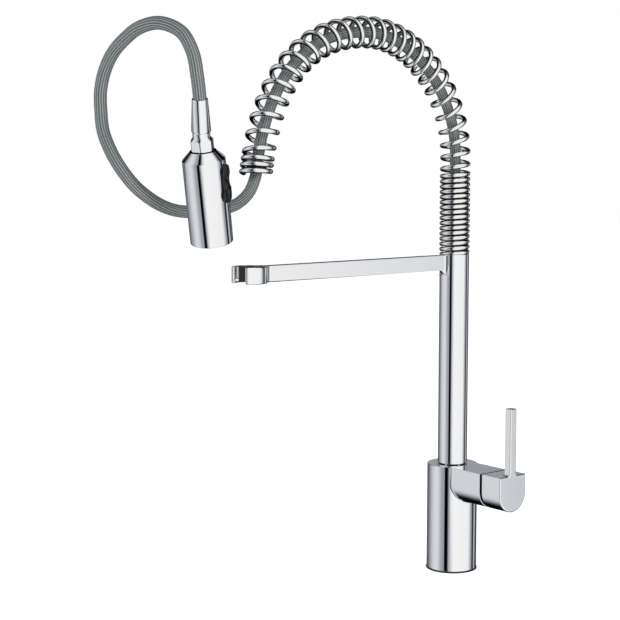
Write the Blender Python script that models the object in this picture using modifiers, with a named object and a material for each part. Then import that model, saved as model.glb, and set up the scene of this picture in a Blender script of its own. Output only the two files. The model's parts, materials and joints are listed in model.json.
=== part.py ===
"""Pull down kitchen faucet with a spring-guided hose and a docking arm.

Frame: origin on the deck at the middle of the base, +Z up, the spout's arm points to -Y
and the handle is on the +X side. Lengths are metres.
"""

import math

import bmesh
import bpy
from mathutils import Matrix, Vector

MM = 0.001
GAP = 0.3 * MM
ROUND = 32
SMALL_ROUND = 20

# Body and its side boss
BODY_R = 26.3 * MM
BODY_TOP = 112.8 * MM
GASKET_R = 27.0 * MM
GASKET_T = 1.2 * MM
BASE_RING_TOP = 9.0 * MM
BASE_BORE_R = 22.5 * MM
BASE_BORE_TOP = 58.0 * MM
DECK_HOLE_R = 17.0 * MM
SPOUT_BORE_R = 11.5 * MM
SPOUT_BORE_BOTTOM = 74.0 * MM
BUSH_BORE_R = 12.3 * MM
BUSH_BORE_BOTTOM = 103.0 * MM
HOSE_HOLE_R = 6.5 * MM
BOSS_HALF_W = 19.0 * MM
BOSS_ABOVE = 18.6 * MM
BOSS_Z = BODY_TOP - BOSS_ABOVE
BOSS_END = 58.3 * MM

# Mixing cartridge, lying along +X in the boss
CART_BORE_R = 12.8 * MM
CART_SEAT_X = 17.5 * MM
CART_R = CART_BORE_R - GAP
YOKE_R = 9.5 * MM
YOKE_FLOOR_X = 26.0 * MM
PIVOT_X = 35.2 * MM
STEM_HALF = 3.0 * MM
STEM_PIN_R = 1.2 * MM
PORT_R = 2.5 * MM
OUTLET_AT = (16.5 * MM, 0.0)
INLET_AT = (9.5 * MM, 13.5 * MM)
CART_MOUTH = 45.5 * MM
CART_NUT = (46.0 * MM, 56.0 * MM)
CART_COLLAR = (CART_NUT[1] + GAP, 61.0 * MM)
COLLAR_BORE_R = 11.2 * MM  # the tilted stem sweeps this wide here
YOKE_MOUTH = 44.0 * MM

# Handle
HANDLE_START = 61.9 * MM
HANDLE_END = 87.2 * MM
HANDLE_RIM = 1.8 * MM
HANDLE_FLOOR = 66.5 * MM
LEVER_T = 7.7 * MM
LEVER_W = 9.1 * MM
LEVER_TOP = 181.7 * MM
LEVER_FILLET = 3.0 * MM
SET_SCREW_X = 69.6 * MM
SET_SCREW_R = 2.0 * MM

# Riser and arm
RISER_R = 15.3 * MM
RISER_BORE_R = 12.6 * MM
RISER_START = BODY_TOP + 1.0 * MM
RISER_TOP = 334.0 * MM
SPIGOT_R = 10.0 * MM
SPIGOT_BORE_R = 6.2 * MM
RING_GROOVE_R = 8.5 * MM
RETAINER_Z = 98.5 * MM
RETAINER_R = 1.9 * MM
RETAINER_SOCKET = 1.1 * MM
ARM_HALF_T = 3.3 * MM
ARM_H = 16.0 * MM
ARM_TOP = RISER_TOP - 0.2 * MM
ARM_GUSSET = 6.0 * MM
CLIP_Y = -268.0 * MM
CLIP_R_OUT = 17.0 * MM
CLIP_R_IN = 13.3 * MM
CLIP_HALF_OPENING = 9.0 * MM
CLIP_FILLET = 7.0 * MM
LINER_T = 0.9 * MM
LINER_PAST_MIDDLE = 13.0
ARM_SCREW_Z = ARM_TOP - ARM_H / 2
ARM_SCREW_R = 1.5 * MM
ARM_SCREW_TIP = -28.0 * MM

# Spring: wire wound round one centreline in the plane x = 0
SPRING_OUT_R = 15.85 * MM
WIRE_R = 2.45 * MM
SPRING_START = -1.2 * MM
SPRING_PHASE = 0.447
SPRING_CORE_R = 9.5 * MM
TIGHT_PITCH = 5.39
END_PITCH = 6.0
# (millimetres along the centreline, millimetres per turn), read as straight runs between
PITCH_STATIONS = [
    (0, TIGHT_PITCH), (82.4, TIGHT_PITCH), (82.6, 7.5), (93, 12), (120, 15), (155, 17.4), (190, 15.2),
    (240, 12.9), (275, 13.7), (310, 15.5), (486, 15.7), (488, END_PITCH), (520, END_PITCH),
]
ARCH_START_Z = 436.0 * MM
ARCH_APEX = (-120.0 * MM, 556.0 * MM)
ARCH_END = (-260.0 * MM, 419.5 * MM)
ARCH_END_LEAN = math.radians(7.5)
ARCH_HANDLES = (62.0 * MM, 62.0 * MM, 92.0 * MM, 74.0 * MM)
SPRING_POINTS_PER_TURN = 8
GUIDE_L = 8.0 * MM
GUIDE_INSIDE = 3.0 * MM
SEAT_Z = (318.0 * MM, 331.5 * MM, 352.0 * MM)
SEAT_R = 8.6 * MM

# Hose and spray head
HOSE_R = 5.5 * MM
HOSE_SPLIT = 6.0 * MM
HOSE_START_Z = 60.0 * MM
BALL_AT = Vector((113.6, -401.9, 452.7)) * MM
HEAD_TILT = math.radians(17.0)
HEAD_LEAN = math.radians(-52.9)
FERRULE_TILT = math.radians(19.6)
FERRULE_LEAN = math.radians(-41.2)
ROCKER_AZIMUTH = math.radians(29.0)
BALL_R = 4.8 * MM
HEAD_R = 17.9 * MM
HEAD_WALL = 2.0 * MM
HEAD_TOP = -12.6 * MM
SHOULDER_TOP_R = 10.9 * MM
SHOULDER_END = -19.8 * MM
HEAD_BOTTOM = -91.0 * MM
NUT_R = 9.7 * MM
NUT_NECK_R = 7.3 * MM
NUT_CORNERS_R = 10.1 * MM
NUT_TURN = -14.3
DOME_R = 7.45 * MM
DOME_TOP = 4.8 * MM
FERRULE_BOTTOM = 3.2 * MM
FERRULE_TOP = 31.0 * MM
FERRULE_R = (8.1 * MM, 6.45 * MM)
HOSE_END_IN_FERRULE = 10.3 * MM
ROCKER_MID = -39.5 * MM
ROCKER_HALF_L = 16.0 * MM
ROCKER_PIN_RADIUS_AT = 11.8 * MM
ROCKER_INNER_AT = 14.3 * MM
ROCKER_CLEARANCE = 0.5 * MM
ROCKER_PROUD = 2.6 * MM
ROCKER_PIN_R = 1.0 * MM
PLUNGER_Z = ROCKER_MID - 8.6 * MM
PLUNGER_HEAD_AT = ROCKER_INNER_AT - GAP
PLUNGER_R = 1.2 * MM
BLOCK_R = 8.0 * MM

# The free hose's route from the spring's end to the ferrule, in millimetres
HOSE_ROUTE = [
    (2, -269, 403), (6, -285, 393), (11, -303, 389), (16, -322, 388), (23, -340, 387),
    (30, -358, 387.5), (37, -376, 389.5), (44, -394, 394), (50, -411, 401), (52, -426, 411),
    (50, -437, 424), (43, -443, 439), (34, -445, 456), (29, -444, 473), (29, -444, 490),
    (36, -444, 506.5), (48.5, -443.5, 520.5), (64, -441, 531.5), (80, -437, 539.5),
    (97, -429.5, 542), (113, -420.5, 534.5), (121.5, -415.5, 518.5), (124.5, -413.5, 501),
]


# ---------------------------------------------------------------- scene helpers

def clear_scene():
    for obj in list(bpy.data.objects):
        bpy.data.objects.remove(obj, do_unlink=True)


def new_collection(name):
    group = bpy.data.collections.new(name)
    bpy.context.scene.collection.children.link(group)
    return group


def plain_material(name, colour, roughness, metallic):
    mat = bpy.data.materials.new(name)
    mat.use_nodes = True
    shader = mat.node_tree.nodes["Principled BSDF"]
    shader.inputs["Base Color"].default_value = (*colour, 1.0)
    shader.inputs["Roughness"].default_value = roughness
    shader.inputs["Metallic"].default_value = metallic
    return mat


FINISHES = {
    "chrome": ((0.78, 0.79, 0.81), 0.08, 1.0),
    "brass": ((0.72, 0.55, 0.28), 0.3, 1.0),
    "steel": ((0.6, 0.61, 0.63), 0.25, 1.0),
    "rubber": ((0.03, 0.03, 0.035), 0.7, 0.0),
    "white plastic": ((0.8, 0.8, 0.78), 0.45, 0.0),
    "grey plastic": ((0.35, 0.36, 0.38), 0.45, 0.0),
    "black plastic": ((0.02, 0.02, 0.025), 0.4, 0.0),
    "braid": ((0.42, 0.46, 0.45), 0.5, 0.0),
}


def add_object(name, data, group, finish=None, parent=None):
    obj = bpy.data.objects.new(name, data)
    group.objects.link(obj)
    if parent is not None:
        obj.parent = parent
    if finish is not None:
        data.materials.append(plain_material(name, *FINISHES[finish]))
    return obj


def add_empty(name, group, location, turn=None):
    empty = bpy.data.objects.new(name, None)
    group.objects.link(empty)
    turn = turn or Matrix.Identity(3)
    empty.matrix_world = Matrix.Translation(location) @ turn.to_4x4()
    return empty


def smooth(obj, angle=math.radians(35)):
    obj.data.shade_smooth()
    obj.data.set_sharp_from_angle(angle=angle)


def as_mesh(obj, group):
    """Replaces a curve object by its welded mesh, so that it can be cut or be a cutter."""
    bpy.context.view_layer.update()
    shape = bpy.data.meshes.new_from_object(obj.evaluated_get(bpy.context.evaluated_depsgraph_get()))
    work = bmesh.new()
    work.from_mesh(shape)
    bmesh.ops.remove_doubles(work, verts=work.verts, dist=1e-6)
    work.to_mesh(shape)
    work.free()
    made = bpy.data.objects.new(obj.name, shape)
    name = obj.name
    group.objects.link(made)
    made.parent = obj.parent
    made.matrix_parent_inverse = obj.matrix_parent_inverse
    made.matrix_basis = obj.matrix_basis
    bpy.data.objects.remove(obj, do_unlink=True)
    made.name = name
    return made


def boolean(obj, other, operation):
    mod = obj.modifiers.new(operation.title(), "BOOLEAN")
    mod.operation = operation
    mod.solver = "EXACT"
    mod.object = other
    return mod


# ---------------------------------------------------------------- shape helpers

def turned(name, profile, group, finish=None, parent=None, steps=ROUND, closed=False):
    """A shape turned round its own Z axis from (radius, height) points, outer side downwards."""
    mesh = bpy.data.meshes.new(name)
    points = [(r, 0.0, z) for r, z in profile]
    edges = [(i, i + 1) for i in range(len(points) - 1)]
    if closed:
        edges.append((len(points) - 1, 0))
    mesh.from_pydata(points, edges, [])
    obj = add_object(name, mesh, group, finish, parent)
    screw = obj.modifiers.new("Screw", "SCREW")
    screw.steps = screw.render_steps = steps
    screw.use_merge_vertices = True
    screw.merge_threshold = 1e-6
    screw.use_smooth_shade = True
    return obj


def rod_profile(radius, low, high):
    return [(0.0, high), (radius, high), (radius, low), (0.0, low)]


def tube_profile(outer, inner, low, high):
    return [(outer, high), (outer, low), (inner, low), (inner, high)]


def cylinder_between(name, start, end, radius, group, steps=SMALL_ROUND):
    """A plain cylinder from one point to another, used for bores and pins."""
    start, end = Vector(start), Vector(end)
    mesh = bpy.data.meshes.new(name)
    work = bmesh.new()
    bmesh.ops.create_cone(work, cap_ends=True, segments=steps, radius1=radius, radius2=radius,
                          depth=(end - start).length)
    work.to_mesh(mesh)
    work.free()
    obj = bpy.data.objects.new(name, mesh)
    group.objects.link(obj)
    turn = Vector((0, 0, 1)).rotation_difference(end - start)
    obj.matrix_basis = Matrix.Translation((start + end) / 2) @ turn.to_matrix().to_4x4()
    return obj


def box(name, low, high, group):
    mesh = bpy.data.meshes.new(name)
    work = bmesh.new()
    bmesh.ops.create_cube(work, size=1.0)
    size = [high[i] - low[i] for i in range(3)]
    bmesh.ops.scale(work, vec=size, verts=work.verts)
    bmesh.ops.translate(work, vec=[(high[i] + low[i]) / 2 for i in range(3)], verts=work.verts)
    work.to_mesh(mesh)
    work.free()
    obj = bpy.data.objects.new(name, mesh)
    group.objects.link(obj)
    return obj


def plate(name, outline, thickness, group):
    """A flat outline in local XY, centred on z = 0, as a closed mesh."""
    curve = bpy.data.curves.new(name, "CURVE")
    curve.dimensions = "2D"
    curve.fill_mode = "BOTH"
    curve.extrude = thickness / 2
    spline = curve.splines.new("POLY")
    spline.points.add(len(outline) - 1)
    for point, (x, y) in zip(spline.points, outline):
        point.co = (x, y, 0.0, 1.0)
    spline.use_cyclic_u = True
    obj = bpy.data.objects.new(name, curve)
    group.objects.link(obj)
    return as_mesh(obj, group)


# Local x, y, z of a plate become y, z, x of the frame that it is placed in.
ALONG_X = Matrix(((0, 0, 1), (1, 0, 0), (0, 1, 0))).to_4x4()


def wire(name, points, radius, group, finish=None, parent=None, resolution=2):
    curve = bpy.data.curves.new(name, "CURVE")
    curve.dimensions = "3D"
    curve.bevel_depth = radius
    curve.bevel_resolution = resolution
    curve.use_fill_caps = True
    spline = curve.splines.new("POLY")
    spline.points.add(len(points) - 1)
    for point, place in zip(spline.points, points):
        point.co = (*place, 1.0)
    return add_object(name, curve, group, finish, parent)


def arc(centre, radius, start, end, steps):
    """Points on a circle from one angle to another, both in degrees."""
    turns = [math.radians(start + (end - start) * i / steps) for i in range(steps + 1)]
    return [(centre[0] + radius * math.cos(t), centre[1] + radius * math.sin(t)) for t in turns]


def d_outline(half_width, above, inset=0.0, steps=24):
    """The boss's D section: a flat top and a half-round underside."""
    half, top = half_width - inset, above - inset
    return [(half, top), (-half, top)] + arc((0.0, 0.0), half, 180, 360, steps)


def direction(tilt, azimuth):
    return Vector((math.sin(tilt) * math.cos(azimuth), math.sin(tilt) * math.sin(azimuth),
                   math.cos(tilt)))


def frame_on(axis, azimuth):
    """A turn whose Z is the axis and whose X is the level direction, squared up to the axis."""
    side = Vector((math.cos(azimuth), math.sin(azimuth), 0.0))
    x = (side - axis * side.dot(axis)).normalized()
    y = axis.cross(x)
    return Matrix((x, y, axis)).transposed()


# ---------------------------------------------------------------- paths

def bezier(a, b, c, d, steps):
    out = []
    for i in range(steps + 1):
        t = i / steps
        u = 1 - t
        out.append(a * u ** 3 + b * 3 * u * u * t + c * 3 * u * t * t + d * t ** 3)
    return out


def spring_centreline():
    """From the riser's top, straight up and over the arch to the spring's free end."""
    up1, back1, back2, up2 = ARCH_HANDLES
    start = Vector((0, 0, ARCH_START_Z))
    apex = Vector((0, *ARCH_APEX))
    end = Vector((0, *ARCH_END))
    leaving = Vector((0, -math.sin(ARCH_END_LEAN), -math.cos(ARCH_END_LEAN)))
    rise = bezier(start, start + Vector((0, 0, up1)), apex + Vector((0, back1, 0)), apex, 60)
    fall = bezier(apex, apex - Vector((0, back2, 0)), end - leaving * up2, end, 60)
    return [Vector((0, 0, RISER_TOP))] + rise + fall[1:]


class Path:
    """A polyline that can be read by its length."""

    def __init__(self, points):
        self.points = points
        self.at = [0.0]
        for a, b in zip(points, points[1:]):
            self.at.append(self.at[-1] + (b - a).length)
        self.length = self.at[-1]

    def place(self, s):
        s = min(max(s, 0.0), self.length)
        i = 0
        while i < len(self.at) - 2 and self.at[i + 1] < s:
            i += 1
        share = (s - self.at[i]) / (self.at[i + 1] - self.at[i])
        return self.points[i].lerp(self.points[i + 1], share)

    def heading(self, s, reach=0.5 * MM):
        return (self.place(s + reach) - self.place(s - reach)).normalized()


def smooth_route(knots, per_span=6):
    """A smooth curve through the knots (Catmull-Rom), as a dense list of points."""
    ends = [knots[0] * 2 - knots[1]] + knots + [knots[-1] * 2 - knots[-2]]
    out = []
    for p0, p1, p2, p3 in zip(ends, ends[1:], ends[2:], ends[3:]):
        for i in range(per_span):
            t = i / per_span
            out.append(0.5 * (p1 * 2 + (p2 - p0) * t + (p0 * 2 - p1 * 5 + p2 * 4 - p3) * t * t
                              + (p1 * 3 - p0 - p2 * 3 + p3) * t ** 3))
    return out + [knots[-1]]


def pitch_at(s):
    for (s1, p1), (s2, p2) in zip(PITCH_STATIONS, PITCH_STATIONS[1:]):
        if s <= s2 * MM:
            return (p1 + (p2 - p1) * (s / MM - s1) / (s2 - s1)) * MM
    return END_PITCH * MM


def spring_points():
    """The wire's centreline; its first coil starts low, because its foot is ground flat."""
    path = Path(spring_centreline())
    radius = SPRING_OUT_R - WIRE_R
    side = Vector((1, 0, 0))
    step = 1.0 / SPRING_POINTS_PER_TURN
    points, s, turn = [], SPRING_START, SPRING_PHASE
    while s < path.length:
        out = path.heading(max(s, 1 * MM)).cross(side)
        angle = 2 * math.pi * turn
        below = Vector((0, 0, min(s, 0.0)))
        points.append(path.place(s) + below + (side * math.cos(angle) + out * math.sin(angle)) * radius)
        s += pitch_at(s + pitch_at(s) * step / 2) * step
        turn += step
    return points


# ---------------------------------------------------------------- body

def make_base(parts):
    turned("base_gasket", tube_profile(GASKET_R, DECK_HOLE_R, 0.0, GASKET_T), parts, "rubber",
           closed=True)
    turned("base_ring", tube_profile(BASE_BORE_R - GAP, DECK_HOLE_R, GASKET_T + GAP, BASE_RING_TOP),
           parts, "black plastic", closed=True)


def make_body_shell(parts, cutters):
    low = GASKET_T + GAP
    soft = 0.6 * MM
    body = turned("body_shell", [(0, BODY_TOP), (BODY_R - soft, BODY_TOP), (BODY_R, BODY_TOP - soft),
                                 (BODY_R, low), (0, low)], parts, "chrome", steps=56)
    boss = plate("boss_block", d_outline(BOSS_HALF_W, BOSS_ABOVE), BOSS_END, cutters)
    boss.matrix_basis = Matrix.Translation((BOSS_END / 2, 0, BOSS_Z)) @ ALONG_X
    boolean(body, boss, "UNION")
    bores = turned("body_bores", [
        (0, BODY_TOP + 2 * MM), (BUSH_BORE_R, BODY_TOP + 2 * MM), (BUSH_BORE_R, BUSH_BORE_BOTTOM),
        (SPOUT_BORE_R, BUSH_BORE_BOTTOM), (SPOUT_BORE_R, SPOUT_BORE_BOTTOM),
        (HOSE_HOLE_R, SPOUT_BORE_BOTTOM), (HOSE_HOLE_R, BASE_BORE_TOP),
        (BASE_BORE_R, BASE_BORE_TOP), (BASE_BORE_R, -2 * MM), (0, -2 * MM)], cutters)
    boolean(body, bores, "DIFFERENCE")
    seat = cylinder_between("cartridge_bore", (CART_SEAT_X, 0, BOSS_Z), (BOSS_END + 2 * MM, 0, BOSS_Z),
                            CART_BORE_R, cutters, ROUND)
    boolean(body, seat, "DIFFERENCE")
    above_seat = 8 * MM
    port_x = CART_SEAT_X + PORT_R + 0.8 * MM
    lower, upper = BASE_BORE_TOP - 4 * MM, BOSS_Z - above_seat
    outlet = cylinder_between("outlet_port", (*OUTLET_AT, lower), (port_x, 0, upper), PORT_R, cutters, 16)
    boolean(body, outlet, "DIFFERENCE")
    for side in (-1, 1):
        port = cylinder_between(f"inlet_port_{side + 2}", (INLET_AT[0], side * INLET_AT[1], lower),
                                (port_x, side * 6.5 * MM, upper), PORT_R, cutters, 16)
        boolean(body, port, "DIFFERENCE")
    screw = cylinder_between("retainer_hole", (0, SPIGOT_R - 2 * MM, RETAINER_Z),
                             (0, BODY_R + 2 * MM, RETAINER_Z), RETAINER_R + GAP, cutters)
    boolean(body, screw, "DIFFERENCE")
    smooth(body)


def make_nipples(parts):
    spots = {"hot_inlet_nipple": (INLET_AT[0], INLET_AT[1]),
             "cold_inlet_nipple": (INLET_AT[0], -INLET_AT[1]), "outlet_nipple": OUTLET_AT}
    top = BASE_BORE_TOP - GAP
    collar, barb, bore = 5.2 * MM, 4.2 * MM, PORT_R
    profile = [(collar, top), (collar, top - 9 * MM), (barb, top - 9 * MM), (barb, top - 26 * MM),
               (barb + 0.5 * MM, top - 27 * MM), (barb - 0.6 * MM, top - 32 * MM),
               (bore, top - 32 * MM), (bore, top)]
    for name, (x, y) in spots.items():
        nipple = turned(name, profile, parts, "brass", steps=SMALL_ROUND, closed=True)
        nipple.location = (x, y, 0)


def make_retainer(parts, cutters):
    """The grub screw at the back whose tip runs in the spigot's groove."""
    screw = cylinder_between("spigot_retainer", (0, RING_GROOVE_R + 2 * GAP, RETAINER_Z),
                             (0, BODY_R - 1.5 * MM, RETAINER_Z), RETAINER_R, parts)
    screw.data.materials.append(plain_material("spigot_retainer", *FINISHES["steel"]))
    socket = cylinder_between("retainer_socket", (0, BODY_R - 4 * MM, RETAINER_Z),
                              (0, BODY_R, RETAINER_Z), RETAINER_SOCKET, cutters, 6)
    boolean(screw, socket, "DIFFERENCE")


def make_cartridge(parts, cutters, yoke_pivot):
    """Everything in the boss's bore, from the seat outwards."""
    holes = [(0.0, -6 * MM), (-6.5 * MM, 4 * MM), (6.5 * MM, 4 * MM)]
    seal_start = CART_SEAT_X + GAP
    body_start = seal_start + 1.5 * MM + GAP
    seal = cylinder_between("cartridge_seal", (seal_start, 0, BOSS_Z),
                            (body_start - GAP, 0, BOSS_Z), CART_R, parts, ROUND)
    seal.data.materials.append(plain_material("cartridge_seal", *FINISHES["rubber"]))
    cart = cylinder_between("cartridge_body", (body_start, 0, BOSS_Z), (CART_MOUTH, 0, BOSS_Z),
                            CART_R, parts, ROUND)
    cart.data.materials.append(plain_material("cartridge_body", *FINISHES["white plastic"]))
    well = cylinder_between("yoke_well", (YOKE_FLOOR_X, 0, BOSS_Z), (CART_MOUTH + 1 * MM, 0, BOSS_Z),
                            YOKE_R + GAP, cutters, ROUND)
    boolean(cart, well, "DIFFERENCE")
    for i, (y, z) in enumerate(holes):
        port = cylinder_between(f"cartridge_port_{i + 1}", (seal_start - 1 * MM, y, BOSS_Z - z),
                                (YOKE_FLOOR_X - 3 * MM, y, BOSS_Z - z), 1.8 * MM, cutters, 12)
        boolean(seal, port, "DIFFERENCE")
        boolean(cart, port, "DIFFERENCE")
    nut = turned("cartridge_nut", tube_profile(CART_R, YOKE_R + GAP, *CART_NUT), parts,
                 "brass", closed=True)
    nut.matrix_basis = Matrix.Translation((0, 0, BOSS_Z)) @ ALONG_X
    collar = turned("cartridge_collar", tube_profile(CART_R, COLLAR_BORE_R, *CART_COLLAR), parts,
                    "black plastic", closed=True)
    collar.matrix_basis = Matrix.Translation((0, 0, BOSS_Z)) @ ALONG_X
    for obj in (seal, cart):
        smooth(obj)
    make_yoke(parts, cutters, yoke_pivot)


def make_yoke(parts, cutters, pivot):
    """The drum that turns in the cartridge and carries the stem's pivot pin."""
    yoke = cylinder_between("stem_yoke", (YOKE_FLOOR_X + GAP - PIVOT_X, 0, 0), (YOKE_MOUTH - PIVOT_X, 0, 0),
                            YOKE_R, parts, ROUND)
    yoke.parent = pivot
    yoke.data.materials.append(plain_material("stem_yoke", *FINISHES["grey plastic"]))
    slot_half = STEM_HALF + GAP
    slot = box("yoke_slot", (30 * MM - PIVOT_X, -slot_half, -YOKE_R - 1 * MM),
               (YOKE_MOUTH + 2 * MM - PIVOT_X, slot_half, YOKE_R + 1 * MM), cutters)
    slot.parent = pivot
    boolean(yoke, slot, "DIFFERENCE")
    reach = YOKE_R - 1 * MM
    hole = cylinder_between("yoke_pin_hole", (0, -YOKE_R - 1 * MM, 0), (0, YOKE_R + 1 * MM, 0),
                            STEM_PIN_R + GAP, cutters, 16)
    hole.parent = pivot
    boolean(yoke, hole, "DIFFERENCE")
    pin = cylinder_between("stem_pin", (0, -reach, 0), (0, reach, 0), STEM_PIN_R, parts, 16)
    pin.parent = pivot
    pin.data.materials.append(plain_material("stem_pin", *FINISHES["steel"]))
    smooth(yoke)
    smooth(pin)


# ---------------------------------------------------------------- handle

def lever_outline():
    """The lever seen along +X, standing on the D block with a small fillet on each side."""
    foot, top = BOSS_ABOVE - 1 * MM, LEVER_TOP - BOSS_Z
    half, f = LEVER_W / 2, LEVER_FILLET
    right = [(half + f, foot)] + arc((half + f, BOSS_ABOVE + f), f, 270, 180, 5)
    right += [(half, top - 0.8 * MM), (half - 0.8 * MM, top)]
    return right + [(-y, z) for y, z in reversed(right)]


def make_handle(parts, cutters, pivot):
    length = HANDLE_END - HANDLE_START
    handle = plate("handle", d_outline(BOSS_HALF_W, BOSS_ABOVE), length, parts)
    handle.parent = pivot
    handle.matrix_basis = Matrix.Translation((HANDLE_START + length / 2 - PIVOT_X, 0, 0)) @ ALONG_X
    handle.data.materials.append(plain_material("handle", *FINISHES["chrome"]))
    lever = plate("lever_block", lever_outline(), LEVER_T, cutters)
    lever.parent = pivot
    lever.matrix_basis = Matrix.Translation((HANDLE_END - LEVER_T / 2 - PIVOT_X, 0, 0)) @ ALONG_X
    boolean(handle, lever, "UNION")
    depth = HANDLE_FLOOR - HANDLE_START + 1 * MM
    hollow = plate("handle_hollow", d_outline(BOSS_HALF_W, BOSS_ABOVE, HANDLE_RIM), depth, cutters)
    hollow.parent = pivot
    hollow.matrix_basis = Matrix.Translation((HANDLE_FLOOR - depth / 2 - PIVOT_X, 0, 0)) @ ALONG_X
    boolean(handle, hollow, "DIFFERENCE")
    socket_half = STEM_HALF + GAP
    socket_end = 73 * MM
    socket = box("stem_socket", (HANDLE_FLOOR - 1 * MM - PIVOT_X, -socket_half, -socket_half),
                 (socket_end - PIVOT_X, socket_half, socket_half), cutters)
    socket.parent = pivot
    boolean(handle, socket, "DIFFERENCE")
    screw_x = SET_SCREW_X - PIVOT_X
    hole = cylinder_between("set_screw_hole", (screw_x, 0, -BOSS_HALF_W - 2 * MM), (screw_x, 0, 0),
                            SET_SCREW_R + GAP, cutters)
    hole.parent = pivot
    boolean(handle, hole, "DIFFERENCE")
    smooth(handle)

    stem = box("cartridge_stem", (31 * MM - PIVOT_X, -STEM_HALF, -STEM_HALF),
               (socket_end - GAP - PIVOT_X, STEM_HALF, STEM_HALF), parts)
    stem.parent = pivot
    stem.data.materials.append(plain_material("cartridge_stem", *FINISHES["brass"]))
    pin_hole = cylinder_between("stem_pin_hole", (0, -5 * MM, 0), (0, 5 * MM, 0),
                                STEM_PIN_R + GAP, cutters, 16)
    pin_hole.parent = pivot
    boolean(stem, pin_hole, "DIFFERENCE")

    screw = cylinder_between("handle_set_screw", (screw_x, 0, -13 * MM),
                             (screw_x, 0, -STEM_HALF - GAP), SET_SCREW_R, parts)
    screw.parent = pivot
    screw.data.materials.append(plain_material("handle_set_screw", *FINISHES["steel"]))
    recess = cylinder_between("set_screw_socket", (screw_x, 0, -14 * MM), (screw_x, 0, -10.5 * MM),
                              1.2 * MM, cutters, 6)
    recess.parent = pivot
    boolean(screw, recess, "DIFFERENCE")


# ---------------------------------------------------------------- spout

def make_spigot(parts, spout):
    """The turned neck that carries the riser in the body's bore, and its rings."""
    low, high = SPOUT_BORE_BOTTOM + 1.5 * MM, 136 * MM
    neck_top = RISER_START + GAP
    groove = 1.5 * MM
    ring_heights = (84 * MM, 91 * MM)
    profile = [(RISER_BORE_R - GAP, high), (RISER_BORE_R - GAP, neck_top), (SPIGOT_R, neck_top)]
    for middle, half in ((RETAINER_Z, 2.5 * MM), (ring_heights[1], groove), (ring_heights[0], groove)):
        profile += [(SPIGOT_R, middle + half), (RING_GROOVE_R, middle + half),
                    (RING_GROOVE_R, middle - half), (SPIGOT_R, middle - half)]
    profile += [(SPIGOT_R, low), (SPIGOT_BORE_R, low), (SPIGOT_BORE_R, high)]
    turned("spigot", profile, parts, "brass", spout, closed=True)
    section = 1.15 * MM
    for name, z in zip(("lower_spigot_ring", "upper_spigot_ring"), ring_heights):
        middle = (RING_GROOVE_R + SPOUT_BORE_R) / 2
        loop = [(middle + section * math.cos(a), z + section * math.sin(a))
                for a in (-math.radians(60) * i for i in range(6))]
        turned(name, loop, parts, "rubber", spout, steps=SMALL_ROUND, closed=True)
    turned("swivel_bush", tube_profile(BUSH_BORE_R - GAP, SPIGOT_R + GAP, BUSH_BORE_BOTTOM + GAP,
                                       BODY_TOP - 0.4 * MM), parts, "black plastic", closed=True)


def make_riser(parts, cutters, spout):
    soft = 0.4 * MM
    riser = turned("riser_tube", [
        (RISER_R - soft, RISER_TOP), (RISER_R, RISER_TOP - soft), (RISER_R, RISER_START + soft),
        (RISER_R - soft, RISER_START), (RISER_BORE_R, RISER_START), (RISER_BORE_R, RISER_TOP)],
        parts, "chrome", spout, closed=True)
    hole = cylinder_between("riser_screw_hole", (0, -RISER_BORE_R + 2 * MM, ARM_SCREW_Z),
                            (0, -RISER_R - 2 * MM, ARM_SCREW_Z), ARM_SCREW_R + GAP, cutters, 16)
    boolean(riser, hole, "DIFFERENCE")
    smooth(riser)


def arm_outline():
    """The arm and its clip from above: a straight bar that runs into an open ring."""
    half, f = ARM_HALF_T, CLIP_FILLET
    rise = math.sqrt((CLIP_R_OUT + f) ** 2 - (half + f) ** 2)
    fillet_at = (half + f, CLIP_Y + rise)
    touch = math.degrees(math.atan2(rise, half + f))
    middle_r = (CLIP_R_OUT + CLIP_R_IN) / 2
    tip_r = (CLIP_R_OUT - CLIP_R_IN) / 2
    tip_x = CLIP_HALF_OPENING + tip_r
    tip_angle = -math.degrees(math.acos(tip_x / middle_r))
    tip = (tip_x, CLIP_Y - math.sqrt(middle_r ** 2 - tip_x ** 2))
    right = [(half, -RISER_R + 3 * MM)]
    right += arc(fillet_at, f, 180, 180 + touch, 6)
    right += arc((0, CLIP_Y), CLIP_R_OUT, touch, tip_angle, 18)[1:]
    right += arc(tip, tip_r, tip_angle, tip_angle - 180, 6)[1:]
    right += arc((0, CLIP_Y), CLIP_R_IN, tip_angle, 90, 18)[1:]
    return right + [(-x, y) for x, y in reversed(right[:-1])]


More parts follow.
